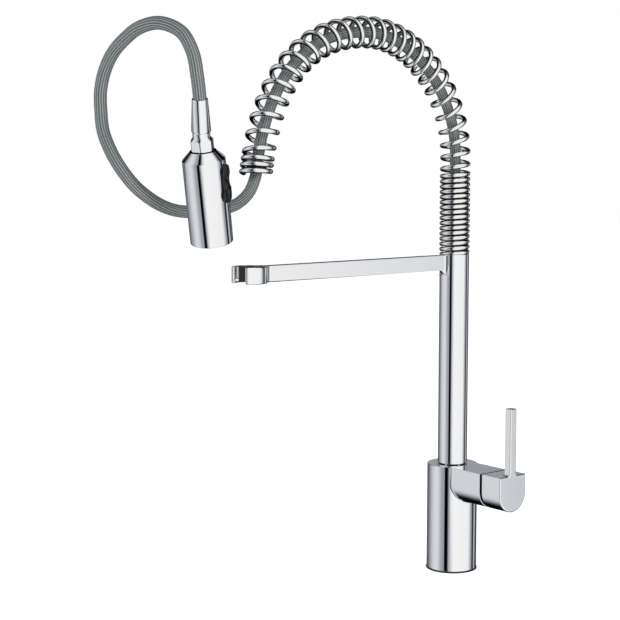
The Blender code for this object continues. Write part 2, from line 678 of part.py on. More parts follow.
def make_arm(parts, cutters, spout):
    arm = plate("docking_arm", arm_outline(), ARM_H, parts)
    arm.parent = spout
    arm.location = (0, 0, ARM_SCREW_Z)
    arm.data.materials.append(plain_material("docking_arm", *FINISHES["chrome"]))
    g, y0, z0 = ARM_GUSSET, -RISER_R, ARM_TOP - ARM_H
    side = [(y0 + 3 * MM, z0 + 1 * MM), (y0 + 3 * MM, z0 - g), (y0, z0 - g)]
    side += arc((y0 - g, z0 - g), g, 0, 90, 6)[1:] + [(y0 - g, z0 + 1 * MM)]
    gusset = plate("arm_gusset", side, 2 * ARM_HALF_T, cutters)
    gusset.matrix_basis = ALONG_X
    boolean(arm, gusset, "UNION")
    column = cylinder_between("riser_clearance", (0, 0, z0 - 2 * g), (0, 0, ARM_TOP + g),
                              RISER_R + GAP, cutters, ROUND)
    boolean(arm, column, "DIFFERENCE")
    hole = cylinder_between("arm_screw_hole", (0, -RISER_R + 2 * MM, ARM_SCREW_Z),
                            (0, ARM_SCREW_TIP - GAP, ARM_SCREW_Z), ARM_SCREW_R + GAP, cutters, 16)
    boolean(arm, hole, "DIFFERENCE")
    smooth(arm)
    head = 2.8 * MM
    inside = -RISER_BORE_R + 2 * GAP
    screw = turned("arm_screw", [(0, 1.8 * MM), (head, 1.8 * MM), (head, 0), (ARM_SCREW_R, 0),
                                 (ARM_SCREW_R, ARM_SCREW_TIP - inside), (0, ARM_SCREW_TIP - inside)],
                   parts, "steel", spout, steps=16)
    screw.matrix_basis = Matrix.Translation((0, inside, ARM_SCREW_Z)) @ Matrix.Rotation(
        math.radians(-90), 4, "X")


def make_liner(parts, spout):
    """The soft pad round the inside of the clip."""
    outer, inner = CLIP_R_IN - GAP, CLIP_R_IN - GAP - LINER_T
    first, last = -LINER_PAST_MIDDLE, 180 + LINER_PAST_MIDDLE
    outline = arc((0, CLIP_Y), outer, first, last, 30) + arc((0, CLIP_Y), inner, last, first, 30)
    liner = plate("clip_liner", outline, ARM_H - 1 * MM, parts)
    liner.parent = spout
    liner.location = (0, 0, ARM_SCREW_Z)
    liner.data.materials.append(plain_material("clip_liner", *FINISHES["rubber"]))


def make_spring(parts, cutters, spout):
    coil = as_mesh(wire("spring", spring_points(), WIRE_R, parts, "steel", spout, resolution=1), parts)
    foot = box("ground_foot", (-20 * MM, -20 * MM, RISER_TOP - 10 * MM), (20 * MM, 20 * MM, RISER_TOP + GAP),
               cutters)
    boolean(coil, foot, "DIFFERENCE")
    low, shoulder, high = SEAT_Z
    rim = RISER_TOP - 0.4 * MM
    turned("spring_seat", [
        (SPRING_CORE_R - 1 * MM, high), (SPRING_CORE_R, high - 1 * MM), (SPRING_CORE_R, rim),
        (RISER_BORE_R - GAP, rim), (RISER_BORE_R - GAP, shoulder), (SEAT_R, shoulder),
        (SEAT_R, low), (SPIGOT_BORE_R, low), (SPIGOT_BORE_R, high)], parts, "steel", spout, closed=True)
    path = Path(spring_centreline())
    heading = path.heading(path.length - 1 * MM)
    turn = Vector((0, 0, -1)).rotation_difference(heading).to_matrix()
    guide = turned("hose_guide", tube_profile(SPRING_CORE_R, HOSE_R + 1 * MM, 0, GUIDE_L),
                   parts, "black plastic", spout, closed=True)
    guide.matrix_basis = Matrix.Translation(path.place(path.length - GUIDE_INSIDE)) @ turn.to_4x4()


def make_hose(parts, spout, ferrule_turn):
    """The hose up the riser and along the spring, then the free length to the ferrule."""
    path = Path(spring_centreline())
    stretch = 16 * MM
    rest = path.length - HOSE_SPLIT
    straight = ARCH_START_Z - RISER_TOP
    count = int((rest - straight) / stretch)
    held = [Vector((0, 0, HOSE_START_Z)), Vector((0, 0, ARCH_START_Z - stretch))]
    held += [path.place(straight + (rest - straight) * i / count) for i in range(count + 1)]
    wire("hose_in_spring", held, HOSE_R, parts, "braid", spout)
    start = path.place(path.length - HOSE_SPLIT + GAP)
    out = path.heading(path.length - 1 * MM)
    ferrule_axis = ferrule_turn @ Vector((0, 0, 1))
    end = BALL_AT + ferrule_axis * HOSE_END_IN_FERRULE
    knots = [start, path.place(path.length) + out * 2 * MM]
    knots += [Vector(p) * MM for p in HOSE_ROUTE]
    knots += [BALL_AT + ferrule_axis * FERRULE_TOP, end]
    route = Path(smooth_route(knots))
    steps = int(route.length / (11 * MM))
    points = [route.place(route.length * i / steps) for i in range(steps + 1)]
    wire("spray_hose", points, HOSE_R, parts, "braid", spout)


# ---------------------------------------------------------------- spray head

def make_ferrule(parts, ferrule):
    hole, bore = 3.5 * MM, HOSE_R + GAP
    recess_r = DOME_R + 0.4 * MM
    low_r = math.sqrt(recess_r ** 2 - FERRULE_BOTTOM ** 2)
    recess = [(r, math.sqrt(recess_r ** 2 - r ** 2))
              for r in (low_r + (hole - low_r) * i / 5 for i in range(6))]
    turned("hose_ferrule", [
        (FERRULE_R[1] - 0.3 * MM, FERRULE_TOP), (FERRULE_R[1], FERRULE_TOP - 0.3 * MM),
        (FERRULE_R[0], FERRULE_BOTTOM + 1 * MM), (FERRULE_R[0] - 0.4 * MM, FERRULE_BOTTOM)] + recess
        + [(hole, HOSE_END_IN_FERRULE - GAP), (bore, HOSE_END_IN_FERRULE - GAP),
           (bore, FERRULE_TOP)], parts, "chrome", ferrule, closed=True)
    stud, water = 3.2 * MM, 2.0 * MM
    first, last = math.asin(stud / BALL_R), math.pi - math.asin(water / BALL_R)
    turns = [first + (last - first) * i / 10 for i in range(11)]
    high = HOSE_END_IN_FERRULE - 2 * GAP
    turned("ball_stud", [(stud, high)] + [(BALL_R * math.sin(a), BALL_R * math.cos(a)) for a in turns]
           + [(water, high)], parts, "brass", ferrule, steps=SMALL_ROUND, closed=True)


def make_swivel(parts, cutters, head):
    """The nut, its ball seat and washer, all round the ball's centre."""
    hex_bottom, spigot_low = HEAD_TOP + GAP, -20.2 * MM
    well, water = 6.4 * MM, 3.0 * MM
    dome_low = math.sqrt(DOME_R ** 2 - NUT_NECK_R ** 2)
    dome = [(math.sqrt(DOME_R ** 2 - z ** 2), z)
            for z in (DOME_TOP + (dome_low - DOME_TOP) * i / 3 for i in range(4))]
    nut = turned("swivel_nut", dome + [
        (NUT_NECK_R, -1.5 * MM), (NUT_R, -3.8 * MM),
        (NUT_R, hex_bottom), (5.7 * MM, hex_bottom), (5.7 * MM, spigot_low), (water, spigot_low),
        (water, -7.5 * MM), (well, -7.5 * MM), (well, 0.6 * MM), (4.65 * MM, 2.2 * MM), (5.2 * MM, DOME_TOP)],
        parts, "chrome", head, closed=True)
    hexagon = arc((0, 0), NUT_CORNERS_R, NUT_TURN, NUT_TURN + 300, 5)
    flats = plate("nut_flats", hexagon, 60 * MM, cutters)
    flats.parent = head
    boolean(nut, flats, "INTERSECT")
    smooth(nut, math.radians(20))
    gap_r = BALL_R + GAP
    seat = [(6.1 * MM, -2.0 * MM), (6.1 * MM, -7.2 * MM), (2.5 * MM, -7.2 * MM)]
    seat += [(math.sqrt(gap_r ** 2 - z ** 2), z) for z in (-4.5 * MM, -4 * MM, -3.4 * MM, -2.7 * MM, -2 * MM)]
    turned("ball_seat", seat, parts, "white plastic", head, steps=SMALL_ROUND, closed=True)
    turned("head_washer", tube_profile(5.5 * MM, 3.2 * MM, -21.8 * MM, -20.5 * MM), parts, "rubber",
           head, steps=SMALL_ROUND, closed=True)


def rocker_outline(grow):
    """Two round lobes joined by a narrower waist, long axis along local y."""
    top_r, low_r = 6.2 * MM + grow, 7.2 * MM + grow
    top_y, low_y = ROCKER_HALF_L - 6.2 * MM, -(ROCKER_HALF_L - 7.2 * MM)
    right = arc((0, low_y), low_r, -90, 30, 8) + arc((0, top_y), top_r, -20, 90, 8)
    left = [(-x, y) for x, y in reversed(right[1:-1])]
    return right + left


def make_head_shell(parts, cutters, head):
    inner = HEAD_R - HEAD_WALL
    soft = 0.5 * MM
    shell = turned("head_shell", [
        (SHOULDER_TOP_R, HEAD_TOP), (HEAD_R - soft * 0.3, SHOULDER_END + soft * 0.3),
        (HEAD_R, SHOULDER_END - soft * 0.5), (HEAD_R, HEAD_BOTTOM + soft),
        (HEAD_R - soft, HEAD_BOTTOM), (inner, HEAD_BOTTOM), (inner, SHOULDER_END - 1 * MM),
        (SHOULDER_TOP_R - 1.5 * MM, HEAD_TOP - 2 * MM), (6.0 * MM, HEAD_TOP - 2 * MM),
        (6.0 * MM, HEAD_TOP)], parts, "chrome", head, steps=48, closed=True)
    opening = plate("rocker_opening", rocker_outline(ROCKER_CLEARANCE), 12 * MM, cutters)
    opening.parent = head
    opening.matrix_basis = Matrix.Translation((HEAD_R, 0, ROCKER_MID)) @ ALONG_X
    boolean(shell, opening, "DIFFERENCE")
    smooth(shell)


def make_rocker(parts, cutters, rocker):
    """The two-lobed button; its empty lies on the pivot pin."""
    depth = 10 * MM
    inner_face = ROCKER_INNER_AT - ROCKER_PIN_RADIUS_AT
    button = plate("rocker_button", rocker_outline(0.0), depth, parts)
    button.parent = rocker
    button.matrix_basis = Matrix.Translation((inner_face + depth / 2, 0, 0)) @ ALONG_X
    button.data.materials.append(plain_material("rocker_button", *FINISHES["black plastic"]))
    reach = 2 * ROCKER_HALF_L
    skin = turned("rocker_skin", rod_profile(HEAD_R + ROCKER_PROUD, -reach, reach), cutters,
                  parent=rocker, steps=48)
    skin.location = (-ROCKER_PIN_RADIUS_AT, 0, 0)
    boolean(button, skin, "INTERSECT")
    waist_at, waist_r = HEAD_R + 17.4 * MM - ROCKER_PIN_RADIUS_AT, 16.5 * MM
    waist = cylinder_between("rocker_waist", (waist_at, -12 * MM, 1 * MM), (waist_at, 12 * MM, 1 * MM),
                             waist_r, cutters, 48)
    waist.parent = rocker
    boolean(button, waist, "DIFFERENCE")
    lug = box("rocker_lug", (-2.4 * MM, -2.5 * MM, -2.4 * MM),
              (inner_face + 1 * MM, 2.5 * MM, 2.4 * MM), cutters)
    lug.parent = rocker
    boolean(button, lug, "UNION")
    pin_hole = cylinder_between("rocker_pin_hole", (0, -4 * MM, 0), (0, 4 * MM, 0), ROCKER_PIN_R + GAP,
                                cutters, 16)
    pin_hole.parent = rocker
    boolean(button, pin_hole, "DIFFERENCE")
    smooth(button)


def make_head_inside(parts, cutters, head, plunger):
    """Waterway, valves, pin and spray plates."""
    top, bottom = -16.0 * MM, -80.0 * MM
    water = 4.0 * MM
    ears = 6.0 * MM
    block = turned("valve_block", [
        (BLOCK_R, top), (BLOCK_R, bottom + 8 * MM), (14.6 * MM, bottom + 6 * MM), (14.6 * MM, bottom),
        (water, bottom), (water, -22.2 * MM), (6.0 * MM, -22.2 * MM), (6.0 * MM, top)],
        parts, "white plastic", head, steps=SMALL_ROUND, closed=True)
    for side in (-1, 1):
        ear = box(f"pin_ear_{side + 2}", (BLOCK_R - 3 * MM, side * ears - 1.4 * MM, ROCKER_MID - 3 * MM),
                  (ROCKER_INNER_AT - 0.9 * MM, side * ears + 1.4 * MM, ROCKER_MID + 3 * MM), cutters)
        ear.parent = head
        boolean(block, ear, "UNION")
    pin_hole = cylinder_between("ear_hole", (ROCKER_PIN_RADIUS_AT, -9 * MM, ROCKER_MID),
                                (ROCKER_PIN_RADIUS_AT, 9 * MM, ROCKER_MID), ROCKER_PIN_R + GAP, cutters, 16)
    pin_hole.parent = head
    boolean(block, pin_hole, "DIFFERENCE")
    guide = cylinder_between("plunger_hole", (1 * MM, 0, PLUNGER_Z), (BLOCK_R + 2 * MM, 0, PLUNGER_Z),
                             PLUNGER_R + GAP, cutters, 16)
    guide.parent = head
    boolean(block, guide, "DIFFERENCE")
    smooth(block)
    pin = cylinder_between("rocker_pin", (ROCKER_PIN_RADIUS_AT, -7.2 * MM, ROCKER_MID),
                           (ROCKER_PIN_RADIUS_AT, 7.2 * MM, ROCKER_MID), ROCKER_PIN_R, parts, 16)
    pin.parent = head
    pin.data.materials.append(plain_material("rocker_pin", *FINISHES["steel"]))
    shank, cap = PLUNGER_R, 2 * PLUNGER_R
    tip = 4.6 * MM - PLUNGER_HEAD_AT
    stem = turned("diverter_plunger", [(0, 0), (cap, 0), (cap, -1.2 * MM), (shank, -1.2 * MM),
                                       (shank, tip), (0, tip)], parts, "grey plastic", plunger, steps=16)
    stem.matrix_basis = Matrix.Rotation(math.radians(90), 4, "Y")
    coil_r, turns = 1.9 * MM, 3.0
    coil_from, coil_to = BLOCK_R + 0.6 * MM, PLUNGER_HEAD_AT - 2.6 * MM
    count = int(turns * 10)
    coil = [(coil_from + (coil_to - coil_from) * i / count, coil_r * math.cos(i * math.tau / 10),
             PLUNGER_Z + coil_r * math.sin(i * math.tau / 10)) for i in range(count + 1)]
    wire("plunger_spring", coil, 0.25 * MM, parts, "steel", head, resolution=0)
    turned("check_valve", tube_profile(3.7 * MM, 1.2 * MM, -31 * MM, -22.8 * MM), parts, "grey plastic",
           head, steps=SMALL_ROUND, closed=True)
    face_top, face_low = bottom - GAP, HEAD_BOTTOM + 0.9 * MM
    inner = HEAD_R - HEAD_WALL - GAP
    turned("face_ring", tube_profile(inner, 13.6 * MM, HEAD_BOTTOM + 0.4 * MM, face_top), parts,
           "grey plastic", head, closed=True)
    turned("spray_face", tube_profile(13.3 * MM, 6.3 * MM, face_low, face_low + 3 * MM), parts, "rubber",
           head, closed=True)
    turned("aerator", rod_profile(6.0 * MM, face_low - 0.2 * MM, face_low + 5 * MM), parts,
           "grey plastic", head, steps=SMALL_ROUND)


# ---------------------------------------------------------------- assembly

def main():
    clear_scene()
    parts = new_collection("pull_down_faucet")
    cutters = new_collection("cutters")
    spout = add_empty("spout_axis", parts, (0, 0, 0))
    stem_pivot = add_empty("stem_pivot", parts, (PIVOT_X, 0, BOSS_Z))
    ferrule_turn = frame_on(direction(FERRULE_TILT, FERRULE_LEAN), ROCKER_AZIMUTH)
    head_turn = frame_on(direction(HEAD_TILT, HEAD_LEAN), ROCKER_AZIMUTH)
    ferrule = add_empty("ferrule_axis", parts, BALL_AT, ferrule_turn)
    head = add_empty("head_axis", parts, BALL_AT, head_turn)
    rocker = add_empty("rocker_axis", parts,
                       BALL_AT + head_turn @ Vector((ROCKER_PIN_RADIUS_AT, 0, ROCKER_MID)), head_turn)
    plunger = add_empty("plunger_axis", parts,
                        BALL_AT + head_turn @ Vector((PLUNGER_HEAD_AT, 0, PLUNGER_Z)), head_turn)
    bpy.context.view_layer.update()

    make_base(parts)
    make_body_shell(parts, cutters)
    make_nipples(parts)
    make_retainer(parts, cutters)
    make_cartridge(parts, cutters, stem_pivot)
    make_handle(parts, cutters, stem_pivot)
    make_spigot(parts, spout)
    make_riser(parts, cutters, spout)
    make_arm(parts, cutters, spout)
    make_liner(parts, spout)
    make_spring(parts, cutters, spout)
    make_hose(parts, spout, ferrule_turn)
    make_ferrule(parts, ferrule)
    make_swivel(parts, cutters, head)
    make_head_shell(parts, cutters, head)
    make_rocker(parts, cutters, rocker)
    make_head_inside(parts, cutters, head, plunger)
    for cutter in cutters.objects:
        cutter.hide_render = True
        cutter.display_type = "WIRE"


main()
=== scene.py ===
"""Looks of the pull down kitchen faucet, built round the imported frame. Lengths are metres."""

import json
import math

import bmesh
import bpy
from mathutils import Matrix, Vector

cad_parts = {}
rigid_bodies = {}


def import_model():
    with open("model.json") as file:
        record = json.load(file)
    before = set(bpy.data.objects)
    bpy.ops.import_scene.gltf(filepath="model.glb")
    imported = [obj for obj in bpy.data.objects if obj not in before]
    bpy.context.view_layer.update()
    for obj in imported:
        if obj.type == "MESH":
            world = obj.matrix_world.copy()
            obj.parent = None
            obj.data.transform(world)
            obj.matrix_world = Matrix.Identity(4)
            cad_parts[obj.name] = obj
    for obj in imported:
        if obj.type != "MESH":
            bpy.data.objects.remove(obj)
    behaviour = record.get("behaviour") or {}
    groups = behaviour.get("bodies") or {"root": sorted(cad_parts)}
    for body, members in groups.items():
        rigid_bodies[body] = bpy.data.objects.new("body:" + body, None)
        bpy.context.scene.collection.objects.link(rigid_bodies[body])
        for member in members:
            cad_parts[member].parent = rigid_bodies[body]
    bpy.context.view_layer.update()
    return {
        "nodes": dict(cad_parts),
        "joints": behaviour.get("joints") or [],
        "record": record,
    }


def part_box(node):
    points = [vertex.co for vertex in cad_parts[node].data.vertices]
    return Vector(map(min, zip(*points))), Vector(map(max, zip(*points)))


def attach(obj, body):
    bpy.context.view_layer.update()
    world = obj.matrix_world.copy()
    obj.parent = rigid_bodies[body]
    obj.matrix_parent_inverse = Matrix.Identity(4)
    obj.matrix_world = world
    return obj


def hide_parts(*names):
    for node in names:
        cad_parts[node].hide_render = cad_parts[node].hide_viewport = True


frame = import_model()

MM = 0.001
GAP = 0.3 * MM
NODES = frame["nodes"]
JOINTS = {joint["name"]: joint for joint in frame["joints"]}
SLOT_OF = {part["node"]: part["material_slot"] for part in frame["record"]["subparts"]}
STILL = Matrix.Identity(4)

# Camera, as a place, a level heading, a downward pitch and a focal length in image widths
CAMERA_AT = Vector((1.1120, -1.1087, 0.4383))
CAMERA_HEADING = math.radians(50.59)
CAMERA_PITCH = math.radians(5.96)
FOCAL_WIDTHS = 2.419354839
SENSOR = 36.0

# Body, riser and handle, read from the frame
BODY_LOW, BODY_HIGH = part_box("body_shell")
RISER_LOW, RISER_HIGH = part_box("riser_tube")
GASKET_LOW, GASKET_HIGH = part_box("base_gasket")
HANDLE_LOW, HANDLE_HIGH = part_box("handle")
ARM_LOW, ARM_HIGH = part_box("docking_arm")
BODY_R = -BODY_LOW[0]
BODY_TOP = BODY_HIGH[2]
RISER_R = RISER_HIGH[0]
BOSS_HALF_W = HANDLE_HIGH[1]
BOSS_Z = JOINTS["flow_tilt"]["pos_m"][2]
BOSS_ABOVE = BODY_TOP - BOSS_Z
BOSS_BORE_R = 12.8 * MM
BOSS_SEAT_X = 17.5 * MM
BASE_BORE_R = 22.5 * MM
BASE_BORE_TOP = 58.0 * MM
SPOUT_BORE_R = 11.5 * MM
SPOUT_BORE_BOTTOM = 74.0 * MM
BUSH_BORE_R = 12.3 * MM
BUSH_BORE_BOTTOM = 103.0 * MM
HOSE_HOLE_R = 6.5 * MM
RETAINER_Z = 98.5 * MM
RETAINER_R = 1.9 * MM
HANDLE_RIM = 1.8 * MM
HANDLE_FLOOR = 66.5 * MM
SET_SCREW_X = 69.6 * MM
SET_SCREW_R = 2.0 * MM
LEVER_T = 7.7 * MM
LEVER_W = 9.1 * MM
LEVER_FILLET = 3.0 * MM
LEVER_TIP_R = 1.4 * MM
RISER_WALL = 2.7 * MM

# Docking arm
ARM_HALF_T = 3.3 * MM
ARM_H = 16.0 * MM
ARM_GUSSET = 6.0 * MM
ARM_ROOT = 3.0 * MM
CLIP_Y = -268.0 * MM
CLIP_R_OUT = ARM_HIGH[0]
CLIP_R_IN = 13.3 * MM
CLIP_HALF_OPENING = 9.0 * MM
CLIP_FILLET = 7.0 * MM

# Spring: (millimetres along the centreline, millimetres per turn), read as straight runs between
SPRING_OUT_R = 15.85 * MM
WIRE_R = 2.45 * MM
SPRING_START = -1.2 * MM
SPRING_PHASE = 0.447
TIGHT_END = 86.0 * MM
OPEN_END = 484.0 * MM
# Spread of painted shade on the spring wire's flanks, by the sine round the wire: tight coils, then open
# coils
TIGHT_FLANK_SHADE = (0.60, 0.76)
OPEN_FLANK_SHADE = (0.80, 0.98)
TIGHT_PITCH = 5.39
END_PITCH = 6.0
PITCH_STATIONS = [
    (0, TIGHT_PITCH), (82.4, TIGHT_PITCH), (82.6, 7.5), (93, 12), (120, 15), (155, 17.4), (190, 15.2),
    (240, 12.9), (275, 13.7), (310, 15.5), (486, 15.7), (488, END_PITCH), (520, END_PITCH),
]
ARCH_START_Z = 436.0 * MM
ARCH_APEX = (-120.0 * MM, 556.0 * MM)
ARCH_END = (-260.0 * MM, 419.5 * MM)
ARCH_END_LEAN = math.radians(7.5)
ARCH_HANDLES = (62.0 * MM, 62.0 * MM, 92.0 * MM, 74.0 * MM)

# Hose
HOSE_R = 5.5 * MM
HOSE_START_Z = 60.0 * MM
HOSE_SPLIT = 6.0 * MM
BRAID_STRANDS = 16
BRAID_STEP = 1.5 * MM
HOSE_ROUTE = [
    (2, -269, 403), (6, -285, 393), (11, -303, 389), (16, -322, 388), (23, -340, 387),
    (30, -358, 387.5), (37, -376, 389.5), (44, -394, 394), (50, -411, 401), (52, -426, 411),
    (50, -437, 424), (43, -443, 439), (34, -445, 456), (29, -444, 473), (29, -444, 490),
    (36, -444, 506.5), (48.5, -443.5, 520.5), (64, -441, 531.5), (80, -437, 539.5),
    (97, -429.5, 542), (113, -420.5, 534.5), (121.5, -415.5, 518.5), (124.5, -413.5, 501),
]

# Spray head, in a frame whose origin is the ball's centre and whose Z is the head's axis
BALL_AT = Vector(JOINTS["head_swivel"]["pos_m"])
HEAD_UP = Vector(JOINTS["head_swivel"]["axis"]).normalized()
HEAD_SIDE = Vector(JOINTS["spray_rocker"]["axis"]).normalized()
FERRULE_TILT = math.radians(19.6)
FERRULE_LEAN = math.radians(-41.2)
FERRULE_BOTTOM = 3.2 * MM
FERRULE_TOP = 31.0 * MM
FERRULE_R = (8.1 * MM, 6.45 * MM)
HOSE_END_IN_FERRULE = 10.3 * MM
NUT_R = 9.7 * MM
NUT_NECK_R = 7.3 * MM
NUT_CORNERS_R = 10.1 * MM
NUT_TURN = -14.3
DOME_R = 7.45 * MM
DOME_TOP = 4.8 * MM
HEAD_R = 17.9 * MM
HEAD_WALL = 2.0 * MM
HEAD_TOP = -12.6 * MM
SHOULDER_TOP_R = 10.9 * MM
SHOULDER_END = -19.8 * MM
HEAD_BOTTOM = -91.0 * MM
ROCKER_MID = -39.5 * MM
ROCKER_HALF_L = 16.0 * MM
ROCKER_PROUD = 2.6 * MM
ROCKER_CLEARANCE = 0.5 * MM
ROCKER_INNER_AT = 14.3 * MM
WAIST_AT = HEAD_R + 17.4 * MM
WAIST_R = 16.5 * MM
NECK_HOLE_R = 6.0 * MM
FACE_R = (13.3 * MM, 6.3 * MM, 6.0 * MM)
FACE_INSET = 0.9 * MM
NOZZLE_RINGS = ((8.2 * MM, 12), (11.3 * MM, 18))
NOZZLE_R = 0.9 * MM
NOZZLE_H = 0.6 * MM


# ---------------------------------------------------------------- camera, world and floor

def make_camera():
    data = bpy.data.cameras.new("camera")
    data.sensor_width = SENSOR
    data.lens = SENSOR * FOCAL_WIDTHS
    data.clip_end = 20.0
    camera = bpy.data.objects.new("camera", data)
    bpy.context.scene.collection.objects.link(camera)
    level = Vector((-math.sin(CAMERA_HEADING), math.cos(CAMERA_HEADING), 0.0))
    forward = level * math.cos(CAMERA_PITCH) - Vector((0, 0, math.sin(CAMERA_PITCH)))
    right = forward.cross(Vector((0, 0, 1))).normalized()
    up = right.cross(forward)
    turn = Matrix((right, up, -forward)).transposed()
    camera.matrix_world = Matrix.Translation(CAMERA_AT) @ turn.to_4x4()
    bpy.context.scene.camera = camera


# The studio seen by the chrome: (degrees round from the front right corner, brightness on screen)
STUDIO_FACING = -45.0
STUDIO = [
    (-180, 70), (-145, 91), (-132, 116), (-122, 142), (-113, 170), (-95, 203), (-88, 208), (-78, 216),
    (-66, 209), (-58, 190), (-51, 168), (-35, 146), (-33.5, 4), (-20.5, 3), (-17.5, 98), (-11.5, 178),
    (-4, 218), (2, 236), (10, 241), (82, 237), (90, 214), (97, 170), (106, 142), (109, 45), (118, 36),
    (123, 150), (128, 205), (137, 75), (145, 62), (180, 70),
]
BEHIND = 150
UNLIT = 10
PLATING = 0.93
# Where the studio changes: a share of a half turn, then parts of a direction of length 1
BEHIND_FROM = (0.40, 0.44)
EYE_LEVEL = (0.09, 0.14)
OVERHEAD = (0.26, 0.36)
BACKWARDS = (0.12, 0.5)
FLOOR_HALF = 6.0
FLOOR_Z = -0.2 * MM
FLOOR_GLOW = 0.72
LIGHT_SIZE = 1.2
LIGHT_AIM = Vector((0.0, -0.15, 0.3))


def linear(value):
    share = value / 255
    return share / 12.92 if share <= 0.04045 else ((share + 0.055) / 1.055) ** 2.4


def studio_colour(value):
    """A grey of that brightness once it is reflected: the darker, the cooler."""
    level = linear(value) / PLATING
    cool = max(0.0, 0.95 - level)
    return (level * (1 - 0.09 * cool), level, level * (1 + 0.15 * cool), 1.0)


def make_world():
    """A white room for the camera, and for reflections a ring of soft panels with dark gaps."""
    world = bpy.data.worlds.new("studio")
    bpy.context.scene.world = world
    world.use_nodes = True
    tree = world.node_tree
    tree.nodes.clear()
    place = tree.nodes.new("ShaderNodeTexCoord")
    split = tree.nodes.new("ShaderNodeSeparateXYZ")
    tree.links.new(place.outputs["Generated"], split.inputs[0])
    angle = math_node(tree, "ARCTAN2", split.outputs["Y"], split.outputs["X"])
    turned = math_node(tree, "MULTIPLY_ADD", angle, 1 / math.tau, 0.5 - STUDIO_FACING / 360)
    wrapped = math_node(tree, "FRACT", turned)
    ramp = tree.nodes.new("ShaderNodeValToRGB")
    stops = ramp.color_ramp.elements
    for i, (degrees, value) in enumerate(STUDIO):
        at = (degrees + 180) / 360
        stop = stops[i] if i < 2 else stops.new(at)
        stop.position = at
        stop.color = studio_colour(value)
    tree.links.new(wrapped, ramp.inputs[0])
    # Above eye level the wall behind is a mid grey
    sideways = math_node(tree, "ABSOLUTE", math_node(tree, "SUBTRACT", wrapped, 0.5))
    behind = ramp_between(tree, sideways, *BEHIND_FROM)
    above = ramp_between(tree, split.outputs["Z"], *EYE_LEVEL)
    wall = colour_mix(tree, math_node(tree, "MULTIPLY", behind, above), ramp.outputs[0],
                      studio_colour(BEHIND))
    # The ceiling and the floor are unlit from overhead backwards
    facing = math.radians(STUDIO_FACING)
    depth = math_node(tree, "MULTIPLY_ADD", split.outputs["Y"], -math.sin(facing),
                      math_node(tree, "MULTIPLY", split.outputs["X"], -math.cos(facing)))
    steep = ramp_between(tree, math_node(tree, "ABSOLUTE", split.outputs["Z"]), *OVERHEAD)
    unlit = math_node(tree, "MULTIPLY", steep, ramp_between(tree, depth, *BACKWARDS))
    room = colour_mix(tree, unlit, wall, studio_colour(UNLIT))
    rays = tree.nodes.new("ShaderNodeLightPath")
    seen = colour_mix(tree, rays.outputs["Is Camera Ray"], room, (1.0, 1.0, 1.0, 1.0))
    back = tree.nodes.new("ShaderNodeBackground")
    tree.links.new(seen, back.inputs["Color"])
    out = tree.nodes.new("ShaderNodeOutputWorld")
    tree.links.new(back.outputs[0], out.inputs["Surface"])


def make_floor():
    mesh = bpy.data.meshes.new("floor")
    corners = ((-1, -1), (1, -1), (1, 1), (-1, 1))
    mesh.from_pydata([(x * FLOOR_HALF, y * FLOOR_HALF, FLOOR_Z) for x, y in corners], [], [(0, 1, 2, 3)])
    floor = bpy.data.objects.new("floor", mesh)
    bpy.context.scene.collection.objects.link(floor)
    paint = bpy.data.materials.new("floor_paint")
    paint.use_nodes = True
    shader = paint.node_tree.nodes["Principled BSDF"]
    shader.inputs["Base Color"].default_value = (0.8, 0.8, 0.8, 1.0)
    shader.inputs["Roughness"].default_value = 0.9
    shader.inputs["Emission Color"].default_value = (1.0, 1.0, 1.0, 1.0)
    shader.inputs["Emission Strength"].default_value = FLOOR_GLOW
    # From underneath the floor is clear
    tree = paint.node_tree
    side = tree.nodes.new("ShaderNodeNewGeometry")
    clear = tree.nodes.new("ShaderNodeBsdfTransparent")
    mix = tree.nodes.new("ShaderNodeMixShader")
    for socket, source in zip(mix.inputs, (side.outputs["Backfacing"], shader.outputs[0],
                                           clear.outputs[0])):
        tree.links.new(source, socket)
    tree.links.new(mix.outputs[0], tree.nodes["Material Output"].inputs["Surface"])
    mesh.materials.append(paint)
    floor.visible_glossy = False


def add_light(name, place, power):
    data = bpy.data.lights.new(name, "AREA")
    data.size = LIGHT_SIZE
    data.energy = power
    lamp = bpy.data.objects.new(name, data)
    bpy.context.scene.collection.objects.link(lamp)
    lamp.location = place
    lamp.rotation_mode = "QUATERNION"
    lamp.rotation_quaternion = (Vector(place) - LIGHT_AIM).to_track_quat("Z", "Y")
    lamp.visible_glossy = False


# ---------------------------------------------------------------- materials

NOISE_SPAN = (0.3, 0.7)
BRAID_SHADES = ((0.075, 0.092, 0.09), (0.19, 0.215, 0.21))
BRAID_STRAND = (0.66, 0.7, 0.69)
# Near-black painted shade for the spring wire's flanks that face the next coils
FLANK_PAINTED_SHADE = (0.006, 0.006, 0.006, 1.0)


def new_material(name, colour, roughness, metallic=0.0):
    mat = bpy.data.materials.new(name)
    mat.use_nodes = True
    shader = mat.node_tree.nodes["Principled BSDF"]
    shader.inputs["Base Color"].default_value = (*colour, 1.0)
    shader.inputs["Roughness"].default_value = roughness
    shader.inputs["Metallic"].default_value = metallic
    return mat, mat.node_tree, shader


def math_node(tree, operation, *values):
    node = tree.nodes.new("ShaderNodeMath")
    node.operation = operation
    for socket, value in zip(node.inputs, values):
        if isinstance(value, (int, float)):
            socket.default_value = value
        else:
            tree.links.new(value, socket)
    return node.outputs[0]


def ramp_between(tree, value, low, high, start=0.0, end=1.0):
    node = tree.nodes.new("ShaderNodeMapRange")
    for name, number in zip(("From Min", "From Max", "To Min", "To Max"), (low, high, start, end)):
        node.inputs[name].default_value = number
    tree.links.new(value, node.inputs["Value"])
    return node.outputs[0]


